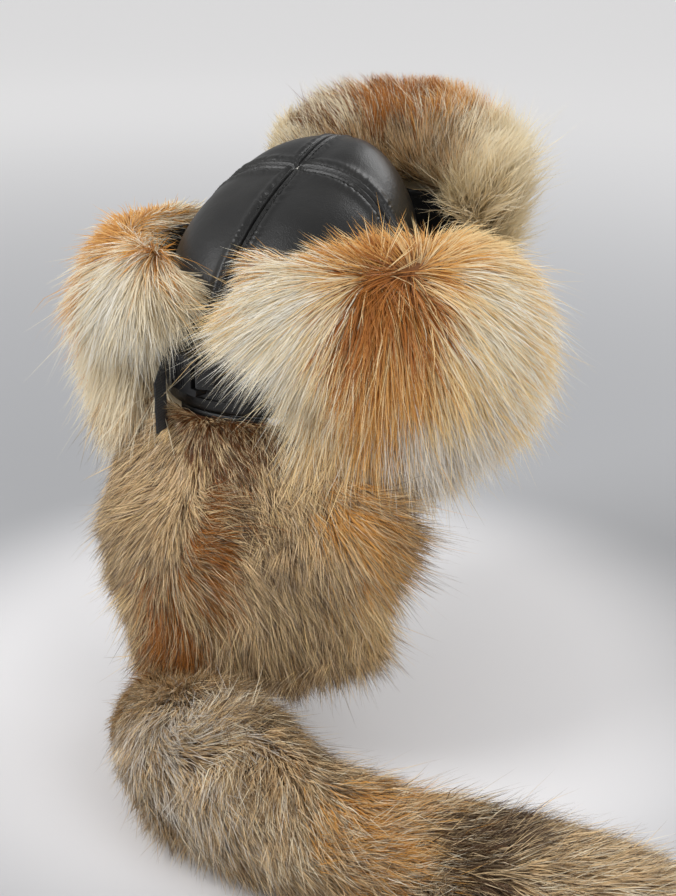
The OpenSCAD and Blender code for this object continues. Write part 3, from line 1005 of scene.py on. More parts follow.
        def place(s: float, k: float) -> Place:
            """Gives a point of the band.

            Args:
                s: The share round.
                k: The share up.

            Returns:
                The point, in metres.
            """
            turn = 2 * math.pi * s
            z = self.band_height * k
            slack = 0.35 * math.sin(9 * turn + 3 * k) * math.sin(math.pi * k)
            rolled = -0.5 * math.exp(-(((1 - k) / 0.03) ** 2)) + 0.5 * math.exp(-(((k - 0.93) / 0.04) ** 2))
            return self.ring_point(turn, z, slack * 0.5 + rolled)

        shape = laid_grid(240, 36, place, lambda at: Vector((at.x, at.y, 0)))
        thick = self.leather * MM
        return stand_in("band_leather", shape, "crown", "black_leather", "crown_band", LeatherFinish(), thick)

    def binding(self) -> bpy.types.Object:
        """Builds the strip that folds round the raw edge.

        Returns:
            The piece.
        """
        outer, inner = 1.45, self.sweatband_face - self.leather - 1.45
        tall = self.binding_height
        section = [
            (outer - 0.9, tall), (outer - 0.2, tall - 0.1), (outer, tall - 0.8), (outer + 0.1, tall / 2),
            (outer, 0.6), (outer - 0.7, -0.9), ((outer + inner) / 2, -1.4), (inner + 0.7, -0.9), (inner, 0.6),
            (inner - 0.1, tall / 2), (inner, tall - 0.8), (inner + 0.2, tall - 0.1), (inner + 0.9, tall),
        ]

        def place(s: float, k: float) -> Place:
            """Gives a point of the binding.

            Args:
                s: The share round.
                k: The share along its section.

            Returns:
                The point, in metres.
            """
            at = k * (len(section) - 1)
            low = min(int(at), len(section) - 2)
            part = at - low
            out, z = (a + (b - a) * part for a, b in zip(section[low], section[low + 1]))
            turn = 2 * math.pi * s
            return self.ring_point(turn, z, out) if z > 0 else (*self.ring_point(turn, 0, out)[:2], z * MM)

        def outward(at: Vector) -> Vector:
            """Gives roughly which way is out: away from the middle past rim_middle, and towards it before."""
            return Vector((at.x, at.y, 0)).normalized() * (1 if at.xy.length > self.rim_middle * MM else -1)

        shape = laid_grid(200, 36, place, outward)
        return stand_in("rim_fold", shape, "crown", "black_leather", "rim_binding", LeatherFinish())

    def lining(self) -> bpy.types.Object:
        """Builds the quilted lining.

        Returns:
            The piece.
        """
        start = self.rise_at(0.5)

        def place(s: float, k: float) -> Place:
            """Gives a point of the lining.

            Args:
                s: The share round.
                k: The share up.

            Returns:
                The point, in metres.
            """
            turn = 2 * math.pi * s
            rise = start + (math.pi / 2 - 0.002 - start) * k
            along = rise * 9.0
            wide = turn * 7.0
            pillow = abs(math.sin(along + wide)) ** 0.6 * abs(math.sin(along - wide)) ** 0.6
            shown = min(1.0, max(0.0, (rise - self.rise_at(self.sweatband_height + 3)) / 0.12))
            quilt = 2.4 * pillow * shown * min(1.0, 3.2 * math.cos(rise))
            return self.point(turn, rise, self.lining_face - quilt)

        shape = laid_grid(224, 90, place, lambda at: Vector((0, 0, 0.03)) - at)
        satin = ClothFinish(
            "quilted_satin", from_screen(26, 26, 29), from_screen(48, 48, 52), pitch=0.0005, depth=0.0001,
            roughness=0.42, sheen=0.3,
        )
        return stand_in("quilted_lining", shape, "crown", "lining", "crown_lining", satin)

    def sweatband(self) -> bpy.types.Object:
        """Builds the sweatband inside the rim.

        Returns:
            The piece.
        """

        def place(s: float, k: float) -> Place:
            """Gives a point of the sweatband.

            Args:
                s: The share round.
                k: The share up.

            Returns:
                The point, in metres.
            """
            turn = 2 * math.pi * s
            rolled = -0.35 * math.exp(-(((k - 0.9) / 0.06) ** 2))
            z = 0.3 + (self.sweatband_height - 0.3) * k
            return self.ring_point(turn, z, self.sweatband_face - self.leather + rolled)

        shape = laid_grid(200, 20, place, lambda at: Vector((-at.x, -at.y, 0)))
        worn = LeatherFinish("sweatband_leather", from_screen(34, 30, 27), from_screen(52, 46, 41), 0.5)
        thick = self.leather * MM * 0.9
        return stand_in("sweatband_leather", shape, "crown", "black_leather", "sweatband", worn, thick)

    def build(self) -> list[bpy.types.Object]:
        """Builds every piece of the crown.

        Returns:
            The pieces.
        """
        pieces = [
            self.gore("crown_panel_front_right", 0), self.gore("crown_panel_front_left", 90),
            self.gore("crown_panel_back_left", 180), self.gore("crown_panel_back_right", 270),
        ]
        for seam, word in ((0, "right"), (90, "front"), (180, "left"), (270, "back")):
            for side, part in ((-1, "a"), (1, "b")):
                pieces.append(self.seam_row(f"topstitch_{word}_{part}", seam, side))
        pieces += [self.band(), self.binding(), self.lining(), self.sweatband()]
        return pieces


# ---- Hair ----

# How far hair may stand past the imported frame's box, and how far above the floor it stays
HAIR_PROUD = (0.022, 0.018, 0.018)
FLOOR_GAP = 0.0009


@dataclass(frozen=True)
class Skin:
    """Triangles that hair can grow from."""

    corners: Array
    normals: Array
    weights: Array

    def roots(self, count: int, rng: np.random.Generator) -> tuple[Array, Array]:
        """Scatters roots over the skin.

        Args:
            count: How many.
            rng: The seeded source of chance.

        Returns:
            The roots' places and the skin's normals there.
        """
        which = rng.choice(len(self.weights), size=count, p=self.weights / self.weights.sum())
        first, second = rng.random((2, count))
        first = np.sqrt(first)
        shares = np.stack([1 - first, first * (1 - second), first * second], axis=1)[:, :, None]
        return (self.corners[which] * shares).sum(1), unit((self.normals[which] * shares).sum(1))


def unit(rows: Array) -> Array:
    """Gives rows of vectors a length of 1."""
    return rows / np.maximum(np.linalg.norm(rows, axis=1, keepdims=True), 1e-9)


def dots(first: Array, second: Array) -> Array:
    """Gives the dot product of each pair of rows, as a column."""
    return (first * second).sum(1, keepdims=True)


def drift(places: Array, size: float, seed: int) -> Array:
    """Gives a smooth wandering vector at each place.

    Args:
        places: The places.
        size: How far apart its turns are, in metres.
        seed: Chooses the pattern.

    Returns:
        One vector for each place, each part from about -1 to 1.
    """
    rng = np.random.default_rng(seed)
    waves = rng.normal(size=(3, 5, 3)) / size
    phases = rng.random((3, 5)) * 2 * math.pi
    return np.stack([np.sin(places @ waves[axis].T + phases[axis]).sum(1) / 2.6 for axis in range(3)], axis=1)


@dataclass(frozen=True)
class Marking:
    """A patch of colour in a pelt that fades out at its edge. Its middle and its reach are in millimetres."""

    name: str
    tone: Tone
    middle: tuple[float, float, float]
    reach: tuple[float, float, float]
    share: float = 1.0

    def strength(self, places: Array) -> Array:
        """Gives the share of hairs at each place that the marking colours."""
        away = np.linalg.norm((places / MM - np.array(self.middle)) / np.array(self.reach), axis=1)
        return self.share * np.clip((1.3 - away) / 0.6, 0, 1)


@dataclass(frozen=True)
class HairCut:
    """How a coat's hair grows: counts, lengths in metres, and how it lies."""

    strands: int
    length: float
    lift_degrees: float = 34.0
    tip_lift_degrees: float = 8.0
    droop: float = 0.25
    untidy: float = 0.20
    clump: float = 0.55
    width: float = 0.00070
    dark_share: float = 0.0
    levels: tuple[float, ...] = (0.0, 0.34, 0.7)
    pieces: int = 1
    seed: int = 1


@dataclass
class Coat:
    """A fur coat over one fur node: its thick underfur, and hair that follows a comb."""

    name: str
    node: str
    body: str
    slot: str
    cut: HairCut
    base: Tone
    markings: tuple[Marking, ...]
    against: tuple[str, ...] = ()
    sink: float = 0.007
    smoothing: int = 5
    patch_jitter: float = 0.007

    def comb(self, places: Array, normals: Array) -> Array:
        """Gives the way that the hair lies.

        Args:
            places: The roots' places.
            normals: The skin's normals there.

        Returns:
            A vector for each root, not yet flat on the skin.
        """
        raise NotImplementedError

    def lengths(self, places: Array, normals: Array) -> Array:
        """Gives each hair's length as a share of the cut's, as a row."""
        return np.ones(len(places))

    def density(self, places: Array, normals: Array) -> Array:
        """Gives how thickly hair grows, as a row."""
        return np.ones(len(places))

    def tones(self, places: Array, rng: np.random.Generator | None) -> Array:
        """Gives each place's tone from the coat's markings.

        Args:
            places: The places.
            rng: The seeded source of chance for single hairs, or None for the settled tone of the skin.

        Returns:
            A tone for each place.
        """
        tone = np.full(len(places), float(self.base))
        loose = places + drift(places, 0.012, self.cut.seed + 7) * 0.008
        if rng is not None:
            loose = loose + rng.normal(size=places.shape) * self.patch_jitter
        for marking in self.markings:
            chance = 0.5 if rng is None else rng.random(len(places))
            tone = np.where(chance < marking.strength(loose), float(marking.tone), tone)
        return tone

    def sinks(self, places: Array) -> Array:
        """Gives how far the underfur lies inside the fur node at each place, as a row."""
        return np.full(len(places), self.sink)

    def underfur(self, frame: dict) -> bpy.types.Object:
        """Builds the thick underfur, a little inside the fur node.

        Args:
            frame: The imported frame.

        Returns:
            The piece.
        """
        shape = bmesh.new()
        shape.from_mesh(frame["nodes"][self.node].data)
        bmesh.ops.remove_doubles(shape, verts=shape.verts, dist=0.00002)
        bmesh.ops.subdivide_edges(shape, edges=shape.edges, cuts=1, use_grid_fill=True)
        for _ in range(self.smoothing):
            bmesh.ops.smooth_vert(
                shape, verts=shape.verts, factor=0.5, use_axis_x=True, use_axis_y=True, use_axis_z=True
            )
        shape.normal_update()
        walls = BVHTree.FromBMesh(shape)
        sinks = []
        depths = self.sinks(np.array([vertex.co for vertex in shape.verts]))
        for vertex, depth in zip(shape.verts, depths):
            through = walls.ray_cast(vertex.co - vertex.normal * 0.0002, -vertex.normal, 0.1)[3] or 0.1
            sinks.append(vertex.normal * min(depth, 0.3 * through))
        for vertex, inwards in zip(shape.verts, sinks):
            vertex.co -= inwards
        bmesh.ops.recalc_face_normals(shape, faces=shape.faces)
        bmesh.ops.triangulate(shape, faces=shape.faces)
        middles = np.array([face.calc_center_median() for face in shape.faces])
        tones = self.tones(middles, None)
        layer = shape.loops.layers.uv.new("OFBake")
        for face, tone in zip(shape.faces, tones):
            for loop, (across, up) in zip(face.loops, ((0.0, 0.0), (0.006, 0.0), (0.0, 0.03))):
                loop[layer].uv = (min(max(tone, 0.004), 0.99) + across, 0.13 + up)
        mesh = mesh_from(shape, f"{self.name}_underfur")
        piece = new_piece(f"{self.name}_underfur", mesh, self.body, self.slot)
        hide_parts(self.node)
        HairFinish().cover(piece)
        return piece

    def skin(self, frame: dict, under: bpy.types.Object) -> Skin:
        """Finds where the underfur is open to the air.

        Args:
            frame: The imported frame.
            under: The underfur.

        Returns:
            The skin that hair grows from.
        """
        mesh = under.data
        mesh.calc_loop_triangles()
        places = np.array([v.co for v in mesh.vertices])
        normals = np.array([v.normal for v in mesh.vertices])
        triangles = np.array([t.vertices for t in mesh.loop_triangles])
        corners = places[triangles]
        sides = corners[:, 1:] - corners[:, :1]
        area = np.linalg.norm(np.cross(sides[:, 0], sides[:, 1]), axis=1) / 2
        trees = [BVHTree.FromPolygons([Vector(p) for p in places], triangles.tolist())]
        trees += [carrier(frame["nodes"][node]) for node in self.against]
        middles, facing = corners.mean(1), unit(normals[triangles].mean(1))
        for k, (middle, way) in enumerate(zip(middles, facing)):
            start, way = Vector(middle + way * 0.0006), Vector(way)
            if any(tree.ray_cast(start, way, 0.022)[0] is not None for tree in trees):
                area[k] = 0.0
        return Skin(corners, normals[triangles], area * self.density(middles, facing))

    def hair(self, skin: Skin, room: Array) -> list[bpy.types.Object]:
        """Grows the hair.

        Args:
            skin: Where it grows from.
            room: The lowest and highest corners that it stays between.

        Returns:
            The pieces.
        """
        cut = self.cut
        rng = np.random.default_rng(cut.seed)
        count = cut.strands
        roots, normals = skin.roots(count, rng)
        wander = 0.45 * drift(roots, 0.035, cut.seed + 1) + 0.28 * drift(roots, 0.011, cut.seed + 2)
        way = self.comb(roots, normals) + wander * cut.untidy / 0.2
        way = unit(way - normals * dots(way, normals))
        aside = np.cross(normals, way)
        lean = rng.normal(size=(count, 1)) * cut.untidy
        way = way * np.cos(lean) + aside * np.sin(lean)
        stray = (rng.random((count, 1)) < 0.10).astype(float)
        length = cut.length * self.lengths(roots, normals)[:, None] * (1 + 0.16 * rng.normal(size=(count, 1)))
        length = np.clip(length, 0.3 * cut.length, 1.9 * cut.length) * (1 + 0.22 * stray)
        lift = np.radians(cut.lift_degrees) * (1 + 0.35 * rng.normal(size=(count, 1)) + 0.35 * stray)
        tip_lift = np.radians(cut.tip_lift_degrees) * (1 + 1.2 * rng.normal(size=(count, 1)) + stray)
        down = np.array([[0.0, 0.0, -1.0]])
        start = roots - normals * 0.0015
        bend = start + unit(way * np.cos(lift) + normals * np.sin(lift)) * length * 0.45
        onward = way * np.cos(tip_lift) + normals * np.sin(tip_lift) + down * cut.droop
        tip = bend + unit(onward) * length * 0.55
        bend += rng.normal(size=(count, 3)) * length * 0.045
        tip += rng.normal(size=(count, 3)) * length * 0.085
        guides = rng.choice(count, size=max(count // 24, 1), replace=False)
        tree = kdtree.KDTree(len(guides))
        for k, guide in enumerate(guides):
            tree.insert(start[guide], k)
        tree.balance()
        mine = guides[np.array([tree.find(at)[1] for at in start])]
        pull = cut.clump * rng.random((count, 1)) ** 0.5 * (1 - 0.8 * stray)
        beside = start - start[mine]
        tip = tip + (tip[mine] + beside * 0.3 - tip) * pull
        bend = bend + (bend[mine] + beside * 0.75 - bend) * pull * 0.5
        bend, tip = self.fitted(start, bend, tip, room, rng)
        own = self.tones(start * 0.16 + bend * 0.48 + tip * 0.36, rng)
        shared = np.where(rng.random(count) < 0.5, own[mine], own)
        dark = (rng.random(count) < cut.dark_share) & (shared > 0.44) & (shared < 0.96)
        shared = np.where(dark, Tone.DARK + 0.05 * rng.random(count), shared)
        tone = np.clip(shared + rng.normal(size=count) * 0.022, 0.006, 0.994)
        return self.ribbons(start, bend, tip, normals, tone, stray, rng)

    def fitted(
        self, start: Array, bend: Array, tip: Array, room: Array, rng: np.random.Generator
    ) -> tuple[Array, Array]:
        """Shortens the hairs that would reach out of the room.

        Args:
            start: The roots.
            bend: Each curve's middle control point.
            tip: The tips.
            room: The room's lowest and highest corners.
            rng: The seeded source of chance.

        Returns:
            The middle control points and the tips.
        """
        slack = 0.004 * rng.random((len(start), 1))
        share = np.ones((len(start), 1))
        for end in (bend, tip):
            reach = end - start
            limit = np.where(reach > 0, room[1] - slack - start, start - room[0] - slack * 0.2)
            fits = np.maximum(limit, 0.0) / np.maximum(np.abs(reach), 1e-6)
            share = np.minimum(share, fits.min(1, keepdims=True))
        share = np.maximum(share, 0.02)
        return start + (bend - start) * share, start + (tip - start) * share

    def ribbons(
        self, start: Array, bend: Array, tip: Array, normals: Array, tone: Array, stray: Array,
        rng: np.random.Generator,
    ) -> list[bpy.types.Object]:
        """Gives each hair its tapered ribbon.

        Args:
            start: The roots.
            bend: Each curve's middle control point.
            tip: The tips.
            normals: The skin's normals at the roots.
            tone: Each hair's tone.
            stray: 1 for a stray hair and 0 for the rest.
            rng: The seeded source of chance.

        Returns:
            The pieces.
        """
        cut = self.cut
        count = len(start)
        roll = (rng.random((count, 1)) - 0.5) * 1.7
        width = cut.width * (0.75 + 0.5 * rng.random((count, 1))) * (1 - 0.4 * stray)
        rows = []
        for level in cut.levels:
            share = 0.5 - 0.35 * (level - 0.3) ** 2 - 0.12 * level
            at = start * (1 - level) ** 2 + bend * 2 * level * (1 - level) + tip * level**2
            along = unit((bend - start) * (1 - level) + (tip - bend) * level)
            side = unit(np.cross(along, normals))
            side = side * np.cos(roll) + np.cross(along, side) * np.sin(roll)
            rows += [at - side * width * share, at + side * width * share]
        rows.append(tip)
        points = np.stack(rows, axis=1)
        half = 0.003
        steps = len(cut.levels)
        corners = 2 * steps + 1
        across = np.stack([tone - half, tone + half] * steps + [tone], axis=1)
        up = np.broadcast_to(np.array([*np.repeat(cut.levels, 2), 1.0]), across.shape)
        spots = np.stack([across, up], axis=2)
        quads = [[2 * k, 2 * k + 1, 2 * k + 3, 2 * k + 2] for k in range(steps - 1)]
        loops = np.array(sum(quads, []) + [corners - 3, corners - 2, corners - 1])
        made = []
        for k, part in enumerate(np.array_split(np.arange(count), cut.pieces)):
            size = len(part)
            mesh = bpy.data.meshes.new(f"{self.name}_hair_{k + 1}")
            mesh.vertices.add(size * corners)
            mesh.vertices.foreach_set("co", points[part].astype(np.float32).ravel())
            mesh.loops.add(size * len(loops))
            index = (np.arange(size)[:, None] * corners + loops[None, :]).ravel()
            mesh.loops.foreach_set("vertex_index", index.astype(np.int32))
            mesh.polygons.add(size * steps)
            starts = (np.arange(size)[:, None] * len(loops) + 4 * np.arange(steps)[None, :]).ravel()
            mesh.polygons.foreach_set("loop_start", starts.astype(np.int32))
            layer = mesh.uv_layers.new(name="OFBake")
            layer.data.foreach_set("uv", spots[part][:, loops].astype(np.float32).ravel())
            mesh.update(calc_edges=True)
            mesh.shade_smooth()
            piece = new_piece(mesh.name, mesh, self.body, self.slot)
            HairFinish().cover(piece)
            made.append(piece)
        return made

    def build(self, frame: dict, room: Array) -> list[bpy.types.Object]:
        """Builds the coat.

        Args:
            frame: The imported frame.
            room: The lowest and highest corners that its hair stays between.

        Returns:
            Its pieces.
        """
        under = self.underfur(frame)
        pieces = self.hair(self.skin(frame, under), room)
        LOG.info("%s: %d hairs in %d pieces", self.name, self.cut.strands, len(pieces))
        return [under, *pieces]


@dataclass
class WhorledCoat(Coat):
    """A coat whose hair spreads from a whorl and hangs."""

    whorl: tuple[float, float, float] = (0.0, 0.0, 0.0)
    parting: tuple[float, float, float] = (0.02, 0.03, 0.0)
    hang: float = 0.25
    rear_length: float = 1.0
    outer_length: float = 1.0
    outer_sink: float = 0.0

    def sinks(self, places: Array) -> Array:
        """Gives how far the underfur lies inside the fur node, deeper on its outer side by outer_sink."""
        return self.sink + self.outer_sink * np.clip((np.abs(places[:, 0]) - 0.12) / 0.03, 0, 1)

    def comb(self, places: Array, normals: Array) -> Array:
        """Gives the way that the hair lies.

        Args:
            places: The roots' places.
            normals: The skin's normals there.

        Returns:
            A vector for each root, not yet flat on the skin.
        """
        away = places - np.array(self.whorl)
        line = unit(np.array([self.parting]))
        far = np.linalg.norm(away, axis=1, keepdims=True)
        away = away - line * (away @ line.T) * 0.6 * np.exp(-((far / 0.060) ** 2))
        near = np.exp(-((far / 0.028) ** 2))
        wander = near * 1.1 * drift(places, 0.011, self.cut.seed + 3)
        return unit(away) + wander + np.array([[0.0, 0.0, -self.hang]])

    def lengths(self, places: Array, normals: Array) -> Array:
        """Gives longer hair at the rear, shorter hair at the top, and outer_length's share outside.

        Args:
            places: The roots' places.
            normals: The skin's normals there.

        Returns:
            A share for each root.
        """
        top = np.clip((places[:, 2] - 0.085) / 0.03, 0, 1)
        rear = np.clip((-places[:, 1] - 0.045) / 0.05, 0, 1) * (1 - top)
        outer = np.clip((np.abs(places[:, 0]) - 0.10) / 0.05, 0, 1)
        return 1 + (self.rear_length - 1) * rear - 0.45 * top + (self.outer_length - 1) * outer

    def density(self, places: Array, normals: Array) -> Array:
        """Gives thicker hair towards the rear end."""
        return 1 + 1.2 * np.clip((-places[:, 1] - 0.055) / 0.04, 0, 1)


@dataclass
class VisorCoat(Coat):
    """The visor's coat: fanned up and outwards from a point below its foot."""

    def comb(self, places: Array, normals: Array) -> Array:
        """Gives the way that the hair lies.

        Args:
            places: The roots' places.
            normals: The skin's normals there.

        Returns:
            A vector for each root, not yet flat on the skin.
        """
        away = places - np.array([0.0, 0.125, -0.03])
        away[:, 0] *= 1.5
        away[:, 1] *= 0.3
        return unit(away) + np.array([[0.0, 0.0, 0.1]])

    def lengths(self, places: Array, normals: Array) -> Array:
        """Gives shorter hair at the left end, and longer hair low at the right end.

        Args:
            places: The roots' places.
            normals: The skin's normals there.

        Returns:
            A share for each root.
        """
        left = np.clip((-places[:, 0] - 0.03) / 0.05, 0, 1)
        right = np.clip((places[:, 0] - 0.055) / 0.04, 0, 1) * np.clip((0.165 - places[:, 2]) / 0.04, 0, 1)
        return 1 - 0.45 * left + 0.7 * right


@dataclass
class CapeCoat(Coat):
    """The neck cape's coat: down and away from the line of the back."""

    def comb(self, places: Array, normals: Array) -> Array:
        """Gives the way that the hair lies.

        Args:
            places: The roots' places.
            normals: The skin's normals there.

        Returns:
            A vector for each root, not yet flat on the skin.
        """
        line = -0.038 * np.clip(-places[:, 2] / 0.2, 0, 1) ** 2
        away = np.clip((places[:, 0] - line) / 0.10, -1, 1)
        way = np.zeros_like(places)
        way[:, 0] = 0.75 * away
        way[:, 2] = -1.0
        return way

    def lengths(self, places: Array, normals: Array) -> Array:
        """Gives short hair at the rim and the left edge, and longer hair at the right edge.

        Args:
            places: The roots' places.
            normals: The skin's normals there.

        Returns:
            A share for each root.
        """
        side = np.clip((places[:, 0] - 0.085) / 0.035, 0, 1)
        far_side = np.clip((-places[:, 0] - 0.07) / 0.03, 0, 1)
        return 0.45 + 0.55 * np.clip((-places[:, 2] - 0.01) / 0.05, 0, 1) + 0.5 * side - 0.3 * far_side


@dataclass
class TailCoat(Coat):
    """The tail's coat: along the tail, to its tip."""

    line: tuple[tuple[float, float, float], ...] = ()

    def comb(self, places: Array, normals: Array) -> Array:
        """Gives the way that the hair lies.

        Args:
            places: The roots' places.
            normals: The skin's normals there.

        Returns:
            A vector for each root, not yet flat on the skin.
        """
        line = np.array(self.line) * MM
        away = ((places[:, None, :] - line[None, :, :]) ** 2).sum(2)
        near = np.clip(away.argmin(1), 1, len(line) - 2)
        return unit(line[near + 1] - line[near - 1])

    def lengths(self, places: Array, normals: Array) -> Array:
        """Gives short hair at the root and round the outside of the first bend."""
        return (0.5 + 0.5 * np.clip((-places[:, 1] - 0.13) / 0.05, 0, 1)) * (1 - 0.5 * self.turned(places))

    def turned(self, places: Array) -> Array:
        """Gives how far each place is round the outside of the tail's first bend, from 0 to 1."""
        return np.clip((0.03 - places[:, 0]) / 0.03, 0, 1) * np.clip((-places[:, 1] - 0.16) / 0.02, 0, 1)

    def sinks(self, places: Array) -> Array:
        """Gives how far the underfur lies inside the fur node, deeper round the first bend."""
        return self.sink + 0.016 * self.turned(places)


# The tail's middle line as part.scad gives it: steps from the tail's root, in millimetres
TAIL_ROOT = (-38, -126, -201.95)
TAIL_STEPS = (
    (0, 0, 0), (0, -4, -11), (8, -24, -20), (30, -66, -11), (66, -90, -3), (112, -98, -2), (160, -106, -13),
    (218, -104, -17), (278, -98, -15), (338, -90, -16), (392, -81, -19), (436, -75, -26), (468, -72, -35),
    (488, -71, -43),
)

RIGHT_MARKINGS = (
    Marking("golden top edge", Tone.GOLD, (95, -80, 118), (95, 70, 20), 0.85),
    Marking("rust saddle", Tone.RUST, (122, -90, 75), (32, 45, 55), 0.95),
    Marking("golden stripe", Tone.GOLD, (125, -95, 20), (30, 35, 45), 0.7),
    Marking("cream back edge", Tone.CREAM, (56, -120, 60), (40, 40, 60)),
    Marking("white in the back edge", Tone.WHITE, (52, -120, 65), (34, 40, 48), 0.55),
    Marking("cream under the back edge", Tone.CREAM, (75, -110, 15), (28, 35, 35), 0.8),
    Marking("yellow side", Tone.CREAM, (175, -50, 75), (26, 40, 50), 0.7),
    Marking("cream front", Tone.WHITE, (180, 0, 40), (35, 60, 60), 0.5),
    Marking("pale foot", Tone.GREY, (155, -60, -15), (42, 60, 38), 0.9),
    Marking("grizzled hem", Tone.GRIZZLE, (105, -95, -28), (50, 35, 12), 0.7),
)

LEFT_MARKINGS = (
    Marking("golden top edge", Tone.GOLD, (-95, -60, 120), (80, 90, 18), 0.9),
    Marking("orange back corner", Tone.GOLD, (-55, -115, 115), (35, 30, 16), 0.9),
    Marking("golden outer side", Tone.GOLD, (-140, -80, 70), (20, 50, 60), 0.75),
    Marking("cream saddle", Tone.CREAM, (-80, -100, 60), (46, 50, 46)),
    Marking("white in the saddle", Tone.WHITE, (-75, -105, 65), (38, 50, 38), 0.6),
    Marking("cream foot", Tone.CREAM, (-75, -100, 15), (45, 35, 30), 0.9),
    Marking("pale hem", Tone.GRIZZLE, (-85, -95, -28), (60, 40, 12), 0.6),
    Marking("pale front foot", Tone.GREY, (-165, 20, -10), (40, 60, 25)),
)

VISOR_MARKINGS = (
    Marking("grizzled face", Tone.GRIZZLE, (25, 115, 155), (75, 28, 42), 0.9),
    Marking("rust crest", Tone.RUST, (0, 150, 180), (50, 40, 22), 0.85),
    Marking("golden crest", Tone.GOLD, (60, 155, 178), (30, 35, 20), 0.7),
    Marking("brown left end", Tone.BROWN, (-40, 130, 168), (28, 30, 20), 0.6),
    Marking("dark foot", Tone.DARK, (45, 108, 112), (65, 16, 16), 0.7),
    Marking("cream right edge", Tone.CREAM, (115, 115, 115), (30, 55, 65), 0.9),
    Marking("rust forehead", Tone.GOLD, (0, 178, 110), (60, 25, 45), 0.6),
)

CAPE_MARKINGS = (
    Marking("golden over the whole back", Tone.STRAW, (20, -140, -110), (140, 60, 120), 0.14),
    Marking("brown root", Tone.BROWN, (10, -118, -15), (45, 25, 30), 0.6),
    Marking("rust of the upper back", Tone.RUST, (22, -145, -85), (18, 30, 50), 0.85),
    Marking("rust of the lower back", Tone.RUST, (-15, -150, -170), (22, 35, 55), 0.9),
    Marking("dark shoulder", Tone.DARK, (55, -130, -65), (24, 30, 20), 0.35),
    Marking("golden right side", Tone.GOLD, (120, -110, -65), (26, 35, 45), 0.42),
    Marking("straw lower right", Tone.STRAW, (120, -110, -120), (24, 35, 35), 0.5),
)

TAIL_MARKINGS = (
    Marking("pale winter coat", Tone.CREAM, (180, -220, -215), (340, 120, 80), 0.16),
    Marking("pale ball", Tone.GREY, (55, -245, -205), (75, 50, 50), 0.45),
    Marking("rust root", Tone.RUST, (-25, -145, -208), (28, 28, 18), 0.7),
    Marking("dark upper edge", Tone.DARK, (125, -195, -178), (50, 20, 14), 0.5),
    Marking("orange patch", Tone.GOLD, (210, -245, -190), (36, 45, 36), 0.42),
    Marking("dark band", Tone.DARK, (272, -225, -190), (26, 60, 45), 0.85),
    Marking("dark tip", Tone.DARK, (430, -205, -230), (30, 30, 30), 0.5),
)


@dataclass(frozen=True)
class Furs:
    """Every fur coat of the hat."""

    def coats(self, frame: dict, view: Viewpoint) -> list[Coat]:
        """Gives the coats, with their cuts and colours.

        Args:
            frame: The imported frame.
            view: The photograph's camera, which finds the whorls.

        Returns:
            The coats.
        """
        near, far = (
            view.meet(IMAGE_POINTS[point], carrier(frame["nodes"][node]))
            for point, node in (("near_flap_whorl", "right_flap_fur"), ("far_flap_whorl", "left_flap_fur"))
        )
        return [
            WhorledCoat(
                "right_flap", "right_flap_fur", "right_flap", "fox_fur",
                HairCut(62000, 0.046, untidy=0.15, clump=0.42, pieces=2, seed=11), Tone.STRAW, RIGHT_MARKINGS,
                ("right_flap_leather",), whorl=tuple(near), parting=(0.022, 0.036, 0.0), hang=0.30,
                rear_length=1.3, outer_length=1.1,
            ),
            WhorledCoat(
                "left_flap", "left_flap_fur", "left_flap", "fox_fur",
                HairCut(56000, 0.046, untidy=0.15, clump=0.42, pieces=2, seed=12), Tone.CREAM, LEFT_MARKINGS,
                ("left_flap_leather",), whorl=tuple(far), parting=(-0.024, 0.020, 0.0), hang=0.30,
                rear_length=1.25, outer_length=0.45, outer_sink=0.010,
            ),
            VisorCoat(
                "visor", "visor_fur", "visor", "fox_fur",
                HairCut(64000, 0.036, droop=0.05, untidy=0.2, dark_share=0.12, pieces=2, seed=13),
                Tone.CREAM, VISOR_MARKINGS, ("visor_leather",),
            ),
            CapeCoat(
                "cape", "cape_fur", "neck_cape", "cape_fur",
                HairCut(
                    90000, 0.034, lift_degrees=28, droop=0.2, untidy=0.24, clump=0.55, dark_share=0.20,
                    levels=(0.0, 0.5), pieces=2, seed=14,
                ),
                Tone.GRIZZLE, CAPE_MARKINGS, ("cape_leather",), smoothing=3, sink=0.006,
            ),
            TailCoat(
                "tail", "tail_fur", "tail", "cape_fur",
                HairCut(
                    100000, 0.034, lift_degrees=42, droop=0.10, untidy=0.28, clump=0.5, dark_share=0.24,
                    levels=(0.0, 0.5), pieces=2, seed=15,
                ),
                Tone.GRIZZLE, TAIL_MARKINGS, ("tail_pelt",), smoothing=3, sink=0.006,
                line=tuple(tuple(a + b for a, b in zip(TAIL_ROOT, step)) for step in TAIL_STEPS),
            ),
        ]


# ---- Leather sheets behind the furs ----


